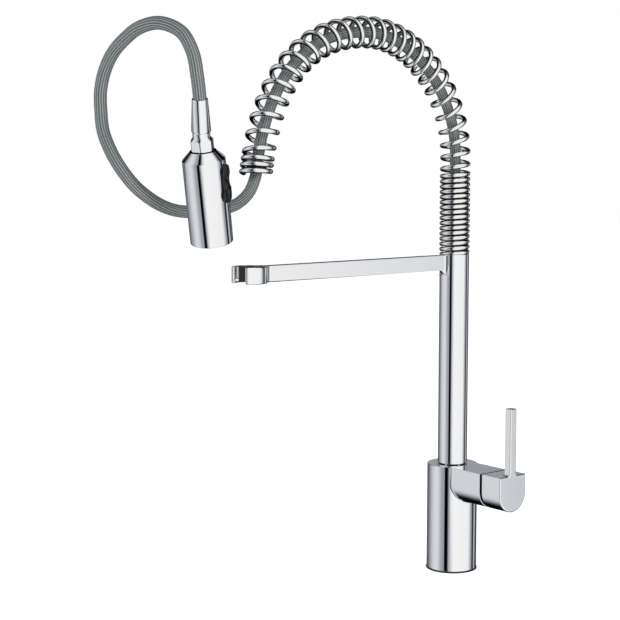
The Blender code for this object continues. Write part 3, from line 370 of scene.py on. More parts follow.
def colour_mix(tree, share, first, second):
    """A mix of two colours, each a socket or (red, green, blue, alpha)."""
    node = tree.nodes.new("ShaderNodeMix")
    node.data_type = "RGBA"
    tree.links.new(share, node.inputs[0])
    for socket, colour in ((node.inputs[6], first), (node.inputs[7], second)):
        if isinstance(colour, tuple):
            socket.default_value = colour
        else:
            tree.links.new(colour, socket)
    return node.outputs[2]


def noise_node(tree, scale, detail=3.0, stretch=None):
    """Noise over the object's own coordinates, with an optional stretch on each axis."""
    place = tree.nodes.new("ShaderNodeTexCoord")
    source = place.outputs["Object"]
    if stretch is not None:
        mapping = tree.nodes.new("ShaderNodeMapping")
        mapping.inputs["Scale"].default_value = stretch
        tree.links.new(source, mapping.inputs["Vector"])
        source = mapping.outputs[0]
    noise = tree.nodes.new("ShaderNodeTexNoise")
    noise.inputs["Scale"].default_value = scale
    noise.inputs["Detail"].default_value = detail
    tree.links.new(source, noise.inputs["Vector"])
    return noise.outputs["Fac"]


def spread(tree, noise, low, high):
    """The middle of a noise's range, carried to a range from low to high."""
    return ramp_between(tree, noise, *NOISE_SPAN, low, high)


def blend_colours(tree, share, first, second):
    """A mix of two plain (red, green, blue) colours."""
    return colour_mix(tree, share, (*first, 1.0), (*second, 1.0))


def add_bump(tree, shader, height, distance, strength=1.0):
    bump = tree.nodes.new("ShaderNodeBump")
    bump.inputs["Strength"].default_value = strength
    bump.inputs["Distance"].default_value = distance
    tree.links.new(height, bump.inputs["Height"])
    tree.links.new(bump.outputs[0], shader.inputs["Normal"])


def polished_chrome(name="polished_chrome", colour=(0.95, 0.95, 0.955), low=0.008, high=0.028):
    """Mirror plating with a very faint waviness and a little smear in its gloss."""
    mat, tree, shader = new_material(name, colour, 0.04, 1.0)
    tree.links.new(spread(tree, noise_node(tree, 55.0), low, high), shader.inputs["Roughness"])
    tint = blend_colours(tree, noise_node(tree, 9.0, 2.0), colour, tuple(c * 0.98 for c in colour))
    tree.links.new(tint, shader.inputs["Base Color"])
    add_bump(tree, shader, noise_node(tree, 30.0, 1.0), 0.02 * MM, 0.35)
    return mat


def spring_wire(open_from, open_to):
    """Plated round wire with faint drawing marks, and painted shade in black on the flanks that face the
    next coils.

    The painted shade is wider outside the open coils, which lie between two lengths along the wire."""
    mat, tree, shader = new_material("spring_wire", (0.93, 0.92, 0.91), 0.05, 1.0)
    tree.links.new(spread(tree, noise_node(tree, 160.0), 0.03, 0.09), shader.inputs["Roughness"])
    tint = blend_colours(tree, noise_node(tree, 35.0), (0.95, 0.94, 0.935), (0.88, 0.87, 0.865))
    place = tree.nodes.new("ShaderNodeTexCoord")
    split = tree.nodes.new("ShaderNodeSeparateXYZ")
    tree.links.new(place.outputs["UV"], split.inputs[0])
    around = math_node(tree, "SINE", math_node(tree, "MULTIPLY", split.outputs["X"], math.tau))
    along = split.outputs["Y"]
    is_open = math_node(tree, "MULTIPLY", math_node(tree, "GREATER_THAN", along, open_from),
                        math_node(tree, "LESS_THAN", along, open_to))
    # Painted shade: near black on the flanks that face the next coils, wider on the tight coils
    across = math_node(tree, "ABSOLUTE", around)
    thin, thick = ramp_between(tree, across, *OPEN_FLANK_SHADE), ramp_between(tree, across, *TIGHT_FLANK_SHADE)
    flank_shade_mask = math_node(tree, "ADD", math_node(tree, "MULTIPLY", is_open, thin),
                      math_node(tree, "MULTIPLY", math_node(tree, "SUBTRACT", 1.0, is_open), thick))
    flank_shaded_colour = colour_mix(tree, flank_shade_mask, tint, FLANK_PAINTED_SHADE)
    tree.links.new(flank_shaded_colour, shader.inputs["Base Color"])
    add_bump(tree, shader, noise_node(tree, 700.0, 2.0), 0.02 * MM, 0.3)
    return mat


def braided_hose():
    """Grey braid: fine raised strands along the hose, tied by a diagonal weave."""
    mat, tree, shader = new_material("braided_hose", (0.2, 0.23, 0.225), 0.38, 0.45)
    place = tree.nodes.new("ShaderNodeTexCoord")
    split = tree.nodes.new("ShaderNodeSeparateXYZ")
    tree.links.new(place.outputs["UV"], split.inputs[0])
    around, along = split.outputs["X"], split.outputs["Y"]
    turns = math_node(tree, "MULTIPLY", around, math.tau * BRAID_STRANDS)
    ridge = math_node(tree, "MULTIPLY_ADD", math_node(tree, "COSINE", turns), 0.5, 0.5)
    ridge = math_node(tree, "POWER", ridge, 3.0)
    steps = math_node(tree, "MULTIPLY", along, math.tau / BRAID_STEP)
    half = math_node(tree, "MULTIPLY", turns, 0.5)
    dash = math_node(tree, "COSINE", math_node(tree, "ADD", steps, half))
    dash = math_node(tree, "MULTIPLY_ADD", dash, 0.35, 0.65)
    strand = math_node(tree, "MULTIPLY", ridge, dash)
    lean = math_node(tree, "MULTIPLY", turns, 2.0)
    left = math_node(tree, "COSINE", math_node(tree, "ADD", steps, lean))
    right = math_node(tree, "COSINE", math_node(tree, "SUBTRACT", steps, lean))
    weave = math_node(tree, "MULTIPLY_ADD", math_node(tree, "MULTIPLY", left, right), 0.5, 0.5)
    tint = colour_mix(tree, strand, blend_colours(tree, weave, *BRAID_SHADES), (*BRAID_STRAND, 1.0))
    tree.links.new(tint, shader.inputs["Base Color"])
    shader.inputs["Specular IOR Level"].default_value = 0.45
    height = math_node(tree, "MULTIPLY_ADD", strand, 0.8, math_node(tree, "MULTIPLY", weave, 0.4))
    add_bump(tree, shader, height, 0.25 * MM, 0.7)
    return mat


def moulded_plastic(name, colour, roughness=0.4, grain=0.03):
    mat, tree, shader = new_material(name, colour, roughness)
    fine = noise_node(tree, 900.0, 2.0)
    tree.links.new(spread(tree, fine, roughness - 0.06, roughness + 0.08), shader.inputs["Roughness"])
    tint = blend_colours(tree, noise_node(tree, 60.0), colour, tuple(c * 0.85 for c in colour))
    tree.links.new(tint, shader.inputs["Base Color"])
    add_bump(tree, shader, fine, grain * MM, 0.5)
    return mat


def turned_metal(name, colour, roughness):
    """Machined metal with fine tool marks."""
    mat, tree, shader = new_material(name, colour, roughness, 1.0)
    marks = noise_node(tree, 120.0, 3.0, (1.0, 1.0, 14.0))
    tree.links.new(spread(tree, marks, roughness - 0.08, roughness + 0.1), shader.inputs["Roughness"])
    tint = blend_colours(tree, noise_node(tree, 40.0), colour, tuple(c * 0.85 for c in colour))
    tree.links.new(tint, shader.inputs["Base Color"])
    add_bump(tree, shader, marks, 0.03 * MM, 0.5)
    return mat


# ---------------------------------------------------------------- mesh helpers

def link(obj, body, *nodes):
    bpy.context.scene.collection.objects.link(obj)
    bpy.context.view_layer.update()
    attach(obj, body)
    if nodes:
        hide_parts(*nodes)
    return obj


def shade(obj, degrees=32):
    obj.data.shade_smooth()
    obj.data.set_sharp_from_angle(angle=math.radians(degrees))


def mesh_object(name, vertices, faces, mat):
    mesh = bpy.data.meshes.new(name)
    mesh.from_pydata([tuple(v) for v in vertices], [], faces)
    mesh.update()
    if mat is not None:
        mesh.materials.append(mat)
    return bpy.data.objects.new(name, mesh)


def arc(centre, radius, start, end, steps):
    """Points on a circle from one angle to another, both in degrees."""
    turns = [math.radians(start + (end - start) * i / steps) for i in range(steps + 1)]
    return [(centre[0] + radius * math.cos(t), centre[1] + radius * math.sin(t)) for t in turns]


def softened(points, radius, steps=4):
    """A closed outline with each of its corners rounded, as far as its sides allow."""
    out = []
    count = len(points)
    for i, here in enumerate(points):
        here = Vector(here)
        before, after = Vector(points[i - 1]) - here, Vector(points[(i + 1) % count]) - here
        angle = before.angle(after)
        if angle > math.radians(150) or here[0] < 1e-9:
            out.append(tuple(here))
            continue
        reach = min(radius / math.tan(angle / 2), before.length * 0.45, after.length * 0.45)
        a = here + before.normalized() * reach
        b = here + after.normalized() * reach
        for k in range(steps + 1):
            t = k / steps
            out.append(tuple(a * (1 - t) ** 2 + here * 2 * t * (1 - t) + b * t * t))
    return out


def lathe(name, profile, mat, place=STILL, segments=96, angle=32):
    """A closed (radius, height) outline turned round Z and put in place."""
    vertices, rings = [], []
    for r, z in profile:
        if r < 1e-9:
            rings.append([len(vertices)])
            vertices.append(place @ Vector((0, 0, z)))
            continue
        rings.append(list(range(len(vertices), len(vertices) + segments)))
        for k in range(segments):
            t = math.tau * k / segments
            vertices.append(place @ Vector((r * math.cos(t), r * math.sin(t), z)))
    faces = []
    for first, second in zip(rings, rings[1:] + rings[:1]):
        if len(first) == 1 and len(second) == 1:
            continue
        for k in range(segments):
            n = (k + 1) % segments
            if len(first) == 1:
                faces.append((first[0], second[k], second[n]))
            elif len(second) == 1:
                faces.append((first[k], second[0], first[n]))
            else:
                faces.append((first[k], second[k], second[n], first[n]))
    obj = mesh_object(name, vertices, faces, mat)
    outward(obj)
    shade(obj, angle)
    return obj


def outward(obj):
    work = bmesh.new()
    work.from_mesh(obj.data)
    bmesh.ops.recalc_face_normals(work, faces=work.faces)
    work.to_mesh(obj.data)
    work.free()


def slab(name, outline, low, high, mat, place=STILL, bevel=0.0, segments=3):
    """A flat outline raised from one height to another, with rounded rims."""
    work = bmesh.new()
    foot = [work.verts.new((x, y, low)) for x, y in outline]
    face = work.faces.new(foot)
    made = bmesh.ops.extrude_face_region(work, geom=[face])
    raised = [v for v in made["geom"] if isinstance(v, bmesh.types.BMVert)]
    bmesh.ops.translate(work, vec=(0, 0, high - low), verts=raised)
    bmesh.ops.recalc_face_normals(work, faces=work.faces)
    if bevel:
        rims = [e for e in work.edges if abs(e.verts[0].co.z - e.verts[1].co.z) < 1e-9]
        bmesh.ops.bevel(work, geom=rims, offset=bevel, segments=segments, profile=0.5, affect="EDGES",
                        clamp_overlap=True)
    bmesh.ops.transform(work, matrix=place, verts=work.verts)
    mesh = bpy.data.meshes.new(name)
    work.to_mesh(mesh)
    work.free()
    if mat is not None:
        mesh.materials.append(mat)
    obj = bpy.data.objects.new(name, mesh)
    shade(obj)
    return obj


def combine(obj, tools):
    """Applies (operation, object) Booleans to obj and throws the tools away."""
    scene = bpy.context.scene.collection.objects
    scene.link(obj)
    for operation, tool in tools:
        scene.link(tool)
        mod = obj.modifiers.new(operation, "BOOLEAN")
        mod.operation = operation
        mod.solver = "EXACT"
        mod.object = tool
    bpy.context.view_layer.update()
    graph = bpy.context.evaluated_depsgraph_get()
    mesh = bpy.data.meshes.new_from_object(obj.evaluated_get(graph))
    obj.modifiers.clear()
    mats = list(obj.data.materials)
    obj.data = mesh
    mesh.materials.clear()
    for mat in mats:
        mesh.materials.append(mat)
    mesh.polygons.foreach_set("material_index", [0] * len(mesh.polygons))
    for _, tool in tools:
        bpy.data.objects.remove(tool, do_unlink=True)
    scene.unlink(obj)
    return obj


def round_edges(obj, width, degrees=35, segments=3, pick=None):
    """Cleans what a Boolean left and rounds the sharp edges, or those of them that pick accepts."""
    work = bmesh.new()
    work.from_mesh(obj.data)
    bmesh.ops.remove_doubles(work, verts=work.verts, dist=0.02 * MM)
    bmesh.ops.dissolve_limit(work, angle_limit=math.radians(0.2), verts=work.verts, edges=work.edges,
                             delimit={"MATERIAL"})
    sharp = [edge for edge in work.edges
             if edge.is_manifold and edge.calc_face_angle() > math.radians(degrees)
             and (pick is None or pick(edge))]
    bmesh.ops.bevel(work, geom=sharp, offset=width, segments=segments, profile=0.5, affect="EDGES",
                    clamp_overlap=False, miter_outer="ARC")
    work.to_mesh(obj.data)
    work.free()
    shade(obj, 180)


def paint_gap_shade(obj, axis, low, high):
    """Gives the flat faces square to an axis, between two distances along it, a second material: near-black
    painted shade for faces that sit in a narrow gap.
    """
    obj.data.materials.append(MATS["gap_shade"])
    for face in obj.data.polygons:
        if abs(face.normal.dot(axis)) > 0.99 and low < face.center.dot(axis) < high:
            face.material_index = 1


def level_faces(obj):
    """Keeps the flat faces flat where they meet rounded edges."""
    level = obj.modifiers.new("level_faces", "WEIGHTED_NORMAL")
    level.weight = 100


def tube(name, points, radius, mat, sides=24, outwards=None, round_ends=False):
    """A round tube along points, with UV: once round in U, and the length in metres in V.

    U starts at the outward side given for each point, or else at a side carried along."""
    points = [Vector(p) for p in points]
    headings = []
    for i in range(len(points)):
        a, b = points[max(i - 1, 0)], points[min(i + 1, len(points) - 1)]
        headings.append((b - a).normalized())
    side = Vector((1, 0, 0))
    vertices, lengths, total = [], [], 0.0
    for i, (point, heading) in enumerate(zip(points, headings)):
        side = outwards[i] if outwards else side
        side = (side - heading * side.dot(heading)).normalized()
        other = heading.cross(side)
        total += (point - points[i - 1]).length if i else 0.0
        lengths.append(total)
        for k in range(sides):
            t = math.tau * k / sides
            vertices.append(point + (side * math.cos(t) + other * math.sin(t)) * radius)
    faces, uvs = [], []
    for i in range(len(points) - 1):
        for k in range(sides):
            n = (k + 1) % sides
            faces.append((i * sides + k, i * sides + n, (i + 1) * sides + n, (i + 1) * sides + k))
            uvs.append([(k / sides, lengths[i]), ((k + 1) / sides, lengths[i]),
                        ((k + 1) / sides, lengths[i + 1]), (k / sides, lengths[i + 1])])
    last = len(points) - 1
    for end, sign, row in ((0, -1, 0), (last, 1, last)):
        ring = [row * sides + k for k in range(sides)]
        if round_ends:
            centre = points[end] + headings[end] * sign * radius * 0.8
            inner = []
            for index in ring:
                inner.append(len(vertices))
                middle = points[end] + (vertices[index] - points[end]) * 0.7
                vertices.append(middle + headings[end] * sign * radius * 0.6)
            for k in range(sides):
                n = (k + 1) % sides
                faces.append((ring[k], ring[n], inner[n], inner[k]))
                uvs.append([(0.0, lengths[end])] * 4)
            ring = inner
        else:
            centre = points[end]
        tip = len(vertices)
        vertices.append(centre)
        for k in range(sides):
            n = (k + 1) % sides
            faces.append((ring[k], ring[n], tip))
            uvs.append([(0.0, lengths[end])] * 3)
    obj = mesh_object(name, vertices, faces, mat)
    layer = obj.data.uv_layers.new(name="along")
    for polygon, corners in zip(obj.data.polygons, uvs):
        for loop, uv in zip(polygon.loop_indices, corners):
            layer.data[loop].uv = uv
    outward(obj)
    shade(obj, 50)
    return obj


def frame_matrix(origin, x, y, z):
    turn = Matrix((x, y, z)).transposed().to_4x4()
    return Matrix.Translation(origin) @ turn


def along_x(origin):
    """Local x, y, z become the frame's y, z, x, from that origin."""
    return frame_matrix(origin, Vector((0, 1, 0)), Vector((0, 0, 1)), Vector((1, 0, 0)))


# ---------------------------------------------------------------- paths

def bezier(a, b, c, d, steps):
    out = []
    for i in range(steps + 1):
        t = i / steps
        u = 1 - t
        out.append(a * u ** 3 + b * 3 * u * u * t + c * 3 * u * t * t + d * t ** 3)
    return out


def spring_centreline():
    up1, back1, back2, up2 = ARCH_HANDLES
    start = Vector((0, 0, ARCH_START_Z))
    apex = Vector((0, *ARCH_APEX))
    end = Vector((0, *ARCH_END))
    leaving = Vector((0, -math.sin(ARCH_END_LEAN), -math.cos(ARCH_END_LEAN)))
    rise = bezier(start, start + Vector((0, 0, up1)), apex + Vector((0, back1, 0)), apex, 120)
    fall = bezier(apex, apex - Vector((0, back2, 0)), end - leaving * up2, end, 120)
    return [Vector((0, 0, RISER_HIGH[2]))] + rise + fall[1:]


class Path:
    """A polyline that can be read by its length."""

    def __init__(self, points):
        self.points = points
        self.at = [0.0]
        for a, b in zip(points, points[1:]):
            self.at.append(self.at[-1] + (b - a).length)
        self.length = self.at[-1]
        self.last = 0

    def place(self, s):
        s = min(max(s, 0.0), self.length)
        i = self.last
        while i > 0 and self.at[i] > s:
            i -= 1
        while i < len(self.at) - 2 and self.at[i + 1] < s:
            i += 1
        self.last = i
        share = (s - self.at[i]) / (self.at[i + 1] - self.at[i])
        return self.points[i].lerp(self.points[i + 1], share)

    def heading(self, s, reach=0.5 * MM):
        return (self.place(s + reach) - self.place(s - reach)).normalized()


def smooth_route(knots, per_span=8):
    """A smooth curve through the knots (Catmull-Rom), as a dense list of points."""
    ends = [knots[0] * 2 - knots[1]] + knots + [knots[-1] * 2 - knots[-2]]
    out = []
    for p0, p1, p2, p3 in zip(ends, ends[1:], ends[2:], ends[3:]):
        for i in range(per_span):
            t = i / per_span
            out.append(0.5 * (p1 * 2 + (p2 - p0) * t + (p0 * 2 - p1 * 5 + p2 * 4 - p3) * t * t
                              + (p1 * 3 - p0 - p2 * 3 + p3) * t ** 3))
    return out + [knots[-1]]


def evenly(path, start, end, step):
    count = max(2, int((end - start) / step))
    return [path.place(start + (end - start) * i / count) for i in range(count + 1)]


# ---------------------------------------------------------------- hose and spring

def ferrule_axis():
    return Vector((math.sin(FERRULE_TILT) * math.cos(FERRULE_LEAN),
                   math.sin(FERRULE_TILT) * math.sin(FERRULE_LEAN), math.cos(FERRULE_TILT)))


def make_hoses(mat):
    path = Path(spring_centreline())
    held = Path([Vector((0, 0, HOSE_START_Z))] + path.points)
    last = held.length - HOSE_SPLIT
    inner = tube("hose_in_spring_braid", evenly(held, 0.0, last, 3 * MM), HOSE_R, mat, 32)
    link(inner, "spout", "hose_in_spring")

    start = path.place(path.length - HOSE_SPLIT + GAP)
    out = path.heading(path.length - 1 * MM)
    axis = ferrule_axis()
    knots = [start, path.place(path.length) + out * 2 * MM]
    knots += [Vector(p) * MM for p in HOSE_ROUTE]
    knots += [BALL_AT + axis * FERRULE_TOP, BALL_AT + axis * HOSE_END_IN_FERRULE]
    route = Path(smooth_route(knots))
    points = evenly(route, 0.0, route.length, 2.5 * MM)
    free = tube("free_hose_braid", points, HOSE_R, mat, 32)
    link(free, "spout", "spray_hose")
    return free, start, points


def pitch_at(s):
    for (s1, p1), (s2, p2) in zip(PITCH_STATIONS, PITCH_STATIONS[1:]):
        if s <= s2 * MM:
            return (p1 + (p2 - p1) * (s / MM - s1) / (s2 - s1)) * MM
    return END_PITCH * MM


def make_spring():
    path = Path(spring_centreline())
    radius = SPRING_OUT_R - WIRE_R
    side = Vector((1, 0, 0))
    step = 1.0 / 32
    points, outwards, stations, s, turn = [], [], [], SPRING_START, SPRING_PHASE
    while s < path.length:
        out = path.heading(max(s, 1 * MM)).cross(side)
        angle = math.tau * turn
        below = Vector((0, 0, min(s, 0.0)))
        outwards.append(side * math.cos(angle) + out * math.sin(angle))
        points.append(path.place(s) + below + outwards[-1] * radius)
        stations.append(s)
        s += pitch_at(s + pitch_at(s) * step / 2) * step
        turn += step
    along = Path(points).at
    changes = [max(length for length, s in zip(along, stations) if s <= end)
               for end in (TIGHT_END, OPEN_END)]
    wire = tube("spring_coil", points, WIRE_R, spring_wire(*changes), 16, outwards, round_ends=True)
    top = RISER_HIGH[2]
    foot = slab("ground_foot", [(-0.02, -0.02), (0.02, -0.02), (0.02, 0.02), (-0.02, 0.02)],
                top - 10 * MM, top + GAP, None)
    combine(wire, [("DIFFERENCE", foot)])
    shade(wire, 50)
    link(wire, "spout", "spring")


# ---------------------------------------------------------------- body, riser and handle

def d_outline(inset=0.0, steps=40):
    half, top = BOSS_HALF_W - inset, BOSS_ABOVE - inset
    return [(half, top), (-half, top)] + arc((0.0, 0.0), half, 180, 360, steps)


def make_body(chrome):
    low = BODY_LOW[2]
    body = lathe("body_turned", [(0, BODY_TOP), (BODY_R, BODY_TOP), (BODY_R, low), (0, low)], chrome,
                 segments=128)
    boss = slab("boss", d_outline(), 0.0, BODY_HIGH[0], None, along_x((0, 0, BOSS_Z)))
    bore = lathe("body_bores", [
        (0, BODY_TOP + MM), (BUSH_BORE_R, BODY_TOP + MM), (BUSH_BORE_R, BUSH_BORE_BOTTOM),
        (SPOUT_BORE_R, BUSH_BORE_BOTTOM), (SPOUT_BORE_R, SPOUT_BORE_BOTTOM),
        (HOSE_HOLE_R, SPOUT_BORE_BOTTOM), (HOSE_HOLE_R, BASE_BORE_TOP), (BASE_BORE_R, BASE_BORE_TOP),
        (BASE_BORE_R, low - MM), (0, low - MM)], None)
    back = slab("retainer_hole", arc((0, 0), RETAINER_R + GAP, 0, 345, 23), 0.0, BODY_R + 2 * MM, None,
                Matrix.Translation((0, 0, RETAINER_Z)) @ Matrix.Rotation(math.radians(-90), 4, "X"))
    seat = slab("cartridge_bore", arc((0, 0), BOSS_BORE_R, 0, 354, 59), BOSS_SEAT_X,
                BODY_HIGH[0] + 2 * MM, None, along_x((0, 0, BOSS_Z)))
    combine(body, [("UNION", boss), ("DIFFERENCE", bore), ("DIFFERENCE", seat), ("DIFFERENCE", back)])
    # Painted shade: the boss's end face, in the gap under the handle, is near black
    paint_gap_shade(body, Vector((1, 0, 0)), BODY_R + MM, BODY_HIGH[0] + MM)
    round_edges(body, 1.6 * MM, pick=lambda edge: not edge.is_convex and edge.verts[0].co.x > BODY_R / 3)
    round_edges(body, 0.45 * MM)
    level_faces(body)
    body.visible_glossy = False
    link(body, "body", "body_shell")


def make_riser(chrome):
    top, low = RISER_HIGH[2], RISER_LOW[2]
    bore = RISER_R - RISER_WALL
    profile = softened([(RISER_R, top), (RISER_R, low), (bore, low), (bore, top)], 0.5 * MM)
    link(lathe("riser_polished", profile, chrome, segments=128), "spout", "riser_tube")


def lever_outline():
    foot, top = BOSS_ABOVE - 1 * MM, HANDLE_HIGH[2] - BOSS_Z
    half, f = LEVER_W / 2, LEVER_FILLET
    right = [(half + f, foot)] + arc((half + f, BOSS_ABOVE + f), f, 270, 180, 12)
    right += arc((half - LEVER_TIP_R, top - LEVER_TIP_R), LEVER_TIP_R, 0, 90, 6)
    return right + [(-y, z) for y, z in reversed(right)]


def make_handle(chrome):
    at = (0, 0, BOSS_Z)
    handle = slab("handle_polished", d_outline(), HANDLE_LOW[0], HANDLE_HIGH[0], chrome, along_x(at))
    lever = slab("lever", lever_outline(), HANDLE_HIGH[0] - LEVER_T, HANDLE_HIGH[0], None, along_x(at))
    hollow = slab("hollow", d_outline(HANDLE_RIM), HANDLE_LOW[0] - MM, HANDLE_FLOOR, None, along_x(at))
    screw = slab("set_screw_hole", arc((0, 0), SET_SCREW_R + GAP, 0, 345, 23), BOSS_Z - BOSS_HALF_W - 2 * MM,
                 BOSS_Z, None, Matrix.Translation((SET_SCREW_X, 0, 0)))
    combine(handle, [("UNION", lever), ("DIFFERENCE", hollow), ("DIFFERENCE", screw)])
    # Painted shade: the handle's inner end faces, seen through the gap at the boss, are near black
    paint_gap_shade(handle, Vector((1, 0, 0)), HANDLE_LOW[0] - MM, HANDLE_FLOOR + MM)
    front = HANDLE_HIGH[0] - 0.01 * MM
    round_edges(handle, 1.3 * MM, pick=lambda edge: min(v.co.x for v in edge.verts) > front)
    round_edges(handle, 0.35 * MM)
    level_faces(handle)
    handle.visible_glossy = False
    link(handle, "handle", "handle")


def arm_outline():
    half, f = ARM_HALF_T, CLIP_FILLET
    rise = math.sqrt((CLIP_R_OUT + f) ** 2 - (half + f) ** 2)
    touch = math.degrees(math.atan2(rise, half + f))
    middle_r = (CLIP_R_OUT + CLIP_R_IN) / 2
    tip_r = (CLIP_R_OUT - CLIP_R_IN) / 2
    tip_x = CLIP_HALF_OPENING + tip_r
    tip_angle = -math.degrees(math.acos(tip_x / middle_r))
    tip = (tip_x, CLIP_Y - math.sqrt(middle_r ** 2 - tip_x ** 2))
    right = [(half, -RISER_R + ARM_ROOT)]
    right += arc((half + f, CLIP_Y + rise), f, 180, 180 + touch, 16)
    right += arc((0, CLIP_Y), CLIP_R_OUT, touch, tip_angle, 48)[1:]
    right += arc(tip, tip_r, tip_angle, tip_angle - 180, 12)[1:]
    right += arc((0, CLIP_Y), CLIP_R_IN, tip_angle, 90, 40)[1:]
    return right + [(-x, y) for x, y in reversed(right[:-1])]


def make_arm(chrome):
    top = ARM_HIGH[2]
    arm = slab("docking_arm_polished", arm_outline(), top - ARM_H, top, chrome)
    g, y0, z0 = ARM_GUSSET, -RISER_R, top - ARM_H
    side = [(y0 + ARM_ROOT, z0 + 1 * MM), (y0 + ARM_ROOT, z0 - g), (y0, z0 - g)]
    side += arc((y0 - g, z0 - g), g, 0, 90, 12)[1:] + [(y0 - g, z0 + 1 * MM)]
    gusset = slab("gusset", side, -ARM_HALF_T, ARM_HALF_T, None, along_x((0, 0, 0)))
    column = lathe("column", [(0, top + 9 * MM), (RISER_R + GAP, top + 9 * MM),
                              (RISER_R + GAP, z0 - 20 * MM), (0, z0 - 20 * MM)], None, segments=128)
    combine(arm, [("UNION", gusset), ("DIFFERENCE", column)])
    round_edges(arm, 1.2 * MM, segments=4,
                pick=lambda edge: abs(edge.verts[0].co.z - edge.verts[1].co.z) < 0.001 * MM)
    level_faces(arm)
    link(arm, "spout", "docking_arm")


# ---------------------------------------------------------------- spray head

def head_matrix():
    return frame_matrix(BALL_AT, HEAD_SIDE.cross(HEAD_UP).normalized(), HEAD_SIDE, HEAD_UP)


def make_ferrule(chrome):
    axis = ferrule_axis()
    side = axis.cross(HEAD_SIDE).normalized() * -1
    place = frame_matrix(BALL_AT, side, axis.cross(side), axis)
    hole, bore = 3.5 * MM, HOSE_R + GAP
    recess_r = DOME_R + 0.4 * MM
    low_r = math.sqrt(recess_r ** 2 - FERRULE_BOTTOM ** 2)
    recess = [(r, math.sqrt(recess_r ** 2 - r ** 2))
              for r in (low_r + (hole - low_r) * i / 8 for i in range(9))]
    profile = softened([(FERRULE_R[1], FERRULE_TOP), (FERRULE_R[0], FERRULE_BOTTOM + 1.2 * MM),
                        (FERRULE_R[0] - 0.4 * MM, FERRULE_BOTTOM)] + recess
                       + [(hole, HOSE_END_IN_FERRULE - GAP), (bore, HOSE_END_IN_FERRULE - GAP),
                          (bore, FERRULE_TOP)], 0.35 * MM)
    link(lathe("ferrule_polished", profile, chrome, place), "spout", "hose_ferrule")


def make_nut(chrome):
    low = HEAD_TOP + GAP
    well, water, spigot_low = 6.4 * MM, 3.0 * MM, -20.2 * MM
    dome_low = math.sqrt(DOME_R ** 2 - NUT_NECK_R ** 2)
    dome = [(math.sqrt(DOME_R ** 2 - z ** 2), z)
            for z in (DOME_TOP + (dome_low - DOME_TOP) * i / 8 for i in range(9))]
    profile = dome + [
        (NUT_NECK_R, -1.2 * MM), (NUT_NECK_R + 0.7 * MM, -1.7 * MM), (NUT_R, -4.1 * MM),
        (NUT_R, low + 0.5 * MM), (NUT_R - 0.5 * MM, low), (5.7 * MM, low), (5.7 * MM, spigot_low),
        (water, spigot_low), (water, -7.5 * MM), (well, -7.5 * MM), (well, 0.6 * MM),
        (4.65 * MM, 2.2 * MM), (5.2 * MM, DOME_TOP)]
    place = head_matrix()
    nut = lathe("nut_polished", profile, chrome, place, 96)
    hexagon = arc((0, 0), NUT_CORNERS_R, NUT_TURN, NUT_TURN + 300, 5)
    flats = slab("flats", hexagon, -30 * MM, 30 * MM, None, place)
    combine(nut, [("INTERSECT", flats)])
    round_edges(nut, 0.25 * MM, 25, 2)
    level_faces(nut)
    link(nut, "neck", "swivel_nut")


def rocker_outline(grow, steps=20):
    top_r, low_r = 6.2 * MM + grow, 7.2 * MM + grow
    top_y, low_y = ROCKER_HALF_L - 6.2 * MM, -(ROCKER_HALF_L - 7.2 * MM)
    right = arc((0, low_y), low_r, -90, 30, steps) + arc((0, top_y), top_r, -20, 90, steps)
    return right + [(-x, y) for x, y in reversed(right[1:-1])]


def make_head_shell(chrome):
    inner = HEAD_R - HEAD_WALL
    place = head_matrix()
    profile = softened([
        (SHOULDER_TOP_R, HEAD_TOP), (HEAD_R, SHOULDER_END), (HEAD_R, HEAD_BOTTOM), (inner, HEAD_BOTTOM),
        (inner, SHOULDER_END - 1 * MM), (SHOULDER_TOP_R - 1.5 * MM, HEAD_TOP - 2 * MM),
        (NECK_HOLE_R, HEAD_TOP - 2 * MM), (NECK_HOLE_R, HEAD_TOP)], 0.5 * MM)
    shell = lathe("head_polished", profile, chrome, place, 128)
    opening = slab("opening", rocker_outline(ROCKER_CLEARANCE), HEAD_R - 6 * MM, HEAD_R + 6 * MM, None,
                   place @ along_x((0, 0, ROCKER_MID)))
    combine(shell, [("DIFFERENCE", opening)])
    mouth = BALL_AT.dot(HEAD_UP) + HEAD_TOP
    # Painted shade: the flat top of the head round the neck, in the gap under the nut, is near black
    paint_gap_shade(shell, HEAD_UP, mouth - MM, mouth + MM)
    round_edges(shell, 0.2 * MM, 40, 2)
    level_faces(shell)
    link(shell, "head", "head_shell")


def make_rocker(black):
    place = head_matrix()
    button = slab("rocker_moulded", rocker_outline(0.0), ROCKER_INNER_AT, HEAD_R + 8 * MM, black,
                  place @ along_x((0, 0, ROCKER_MID)))
    outer = HEAD_R + ROCKER_PROUD
    skin = lathe("skin", [(0, 40 * MM), (outer, 40 * MM), (outer, -100 * MM), (0, -100 * MM)], None,
                 place, 128)
    waist = slab("waist", arc((WAIST_AT, ROCKER_MID + 1 * MM), WAIST_R, 0, 355, 71), -14 * MM, 14 * MM,
                 None, place @ frame_matrix((0, 0, 0), Vector((1, 0, 0)), Vector((0, 0, 1)),
                                            Vector((0, -1, 0))))
    combine(button, [("INTERSECT", skin), ("DIFFERENCE", waist)])
    round_edges(button, 1.1 * MM, 40, 4)
    link(button, "rocker", "rocker_button")


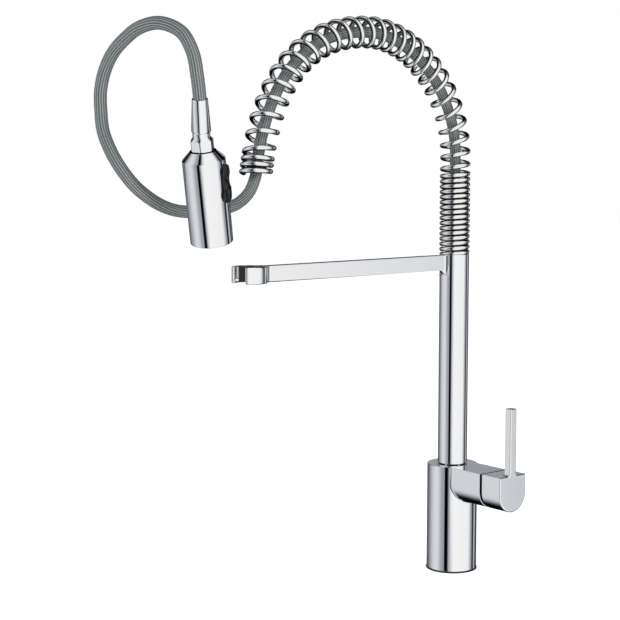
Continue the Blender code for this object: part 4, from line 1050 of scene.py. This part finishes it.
def make_spray_face(rubber, grey):
    """The soft face with its rings of nozzles, and the ribbed screen in its middle."""
    place = head_matrix()
    low = HEAD_BOTTOM + FACE_INSET
    outer, inner, screen = FACE_R
    face = lathe("spray_face_moulded", softened([(outer, low + 3 * MM), (outer, low), (inner, low),
                                                 (inner, low + 3 * MM)], 0.4 * MM), rubber, place)
    nozzles = []
    for ring, count in NOZZLE_RINGS:
        for k in range(count):
            t = math.tau * k / count
            spot = place @ Matrix.Translation((ring * math.cos(t), ring * math.sin(t), low))
            nozzles.append(("UNION", lathe("nozzle", [
                (0, MM), (NOZZLE_R, MM), (NOZZLE_R * 0.7, -NOZZLE_H), (NOZZLE_R * 0.35, -NOZZLE_H),
                (NOZZLE_R * 0.35, 0), (0, 0)], None, spot, 12)))
    combine(face, nozzles)
    link(face, "head", "spray_face")
    ribs = [(0.0, low)]
    for k in range(6):
        here, wide = (k + 0.6) * screen / 6.4, screen / 14
        ribs += [(here, low), (here, low + 0.5 * MM), (here + wide, low + 0.5 * MM), (here + wide, low)]
    profile = ribs + [(screen, low), (screen, low + 5 * MM), (0, low + 5 * MM)]
    link(lathe("aerator_screen", profile, grey, place), "head", "aerator")


# Inner pieces that show in a narrow gap, where they are in the dark, are coloured near black as painted
# shade
SHADED_IN_GAP = {"cartridge_nut", "cartridge_stem", "spigot"}


def finish_nodes(mats):
    """Every CAD node that still shows gets its own finish, except inner pieces in a gap, which get
    near-black painted shade.
    """
    for name, node in NODES.items():
        node.data.materials.clear()
        node.data.materials.append(mats["gap_shade" if name in SHADED_IN_GAP else SLOT_OF[name]])
        node.visible_glossy = False


# ---------------------------------------------------------------- assembly

make_camera()
make_world()
make_floor()
add_light("key", (-0.9, -1.6, 1.7), 16.0)
add_light("fill", (1.7, 0.2, 1.2), 8.0)
bpy.context.scene.view_settings.view_transform = "Standard"

CHROME = polished_chrome()
STEEL = turned_metal("turned_steel", (0.6, 0.61, 0.63), 0.28)
MATS = {
    "chrome": CHROME,
    "brass": turned_metal("turned_brass", (0.72, 0.55, 0.28), 0.3),
    "steel": STEEL,
    "spring_steel": STEEL,
    "rubber": moulded_plastic("black_rubber", (0.018, 0.018, 0.02), 0.6, 0.05),
    "white_plastic": moulded_plastic("white_plastic", (0.75, 0.75, 0.73)),
    "grey_plastic": moulded_plastic("grey_plastic", (0.3, 0.31, 0.33)),
    "black_plastic": moulded_plastic("black_plastic", (0.004, 0.0045, 0.0065), 0.3),
    "braid": braided_hose(),
    # Near-black painted shade for faces and pieces that sit in narrow gaps
    "gap_shade": turned_metal("gap_shade_black", (0.01, 0.01, 0.011), 0.5),
}

finish_nodes(MATS)
free_hose, hose_exit, hose_points = make_hoses(MATS["braid"])
make_spring()
make_body(CHROME)
make_riser(CHROME)
make_arm(CHROME)
make_handle(CHROME)
make_ferrule(CHROME)
make_nut(CHROME)
make_head_shell(CHROME)
make_rocker(moulded_plastic("rocker_black", (0.004, 0.005, 0.008), 0.17, 0.0))
make_spray_face(MATS["rubber"], MATS["grey_plastic"])
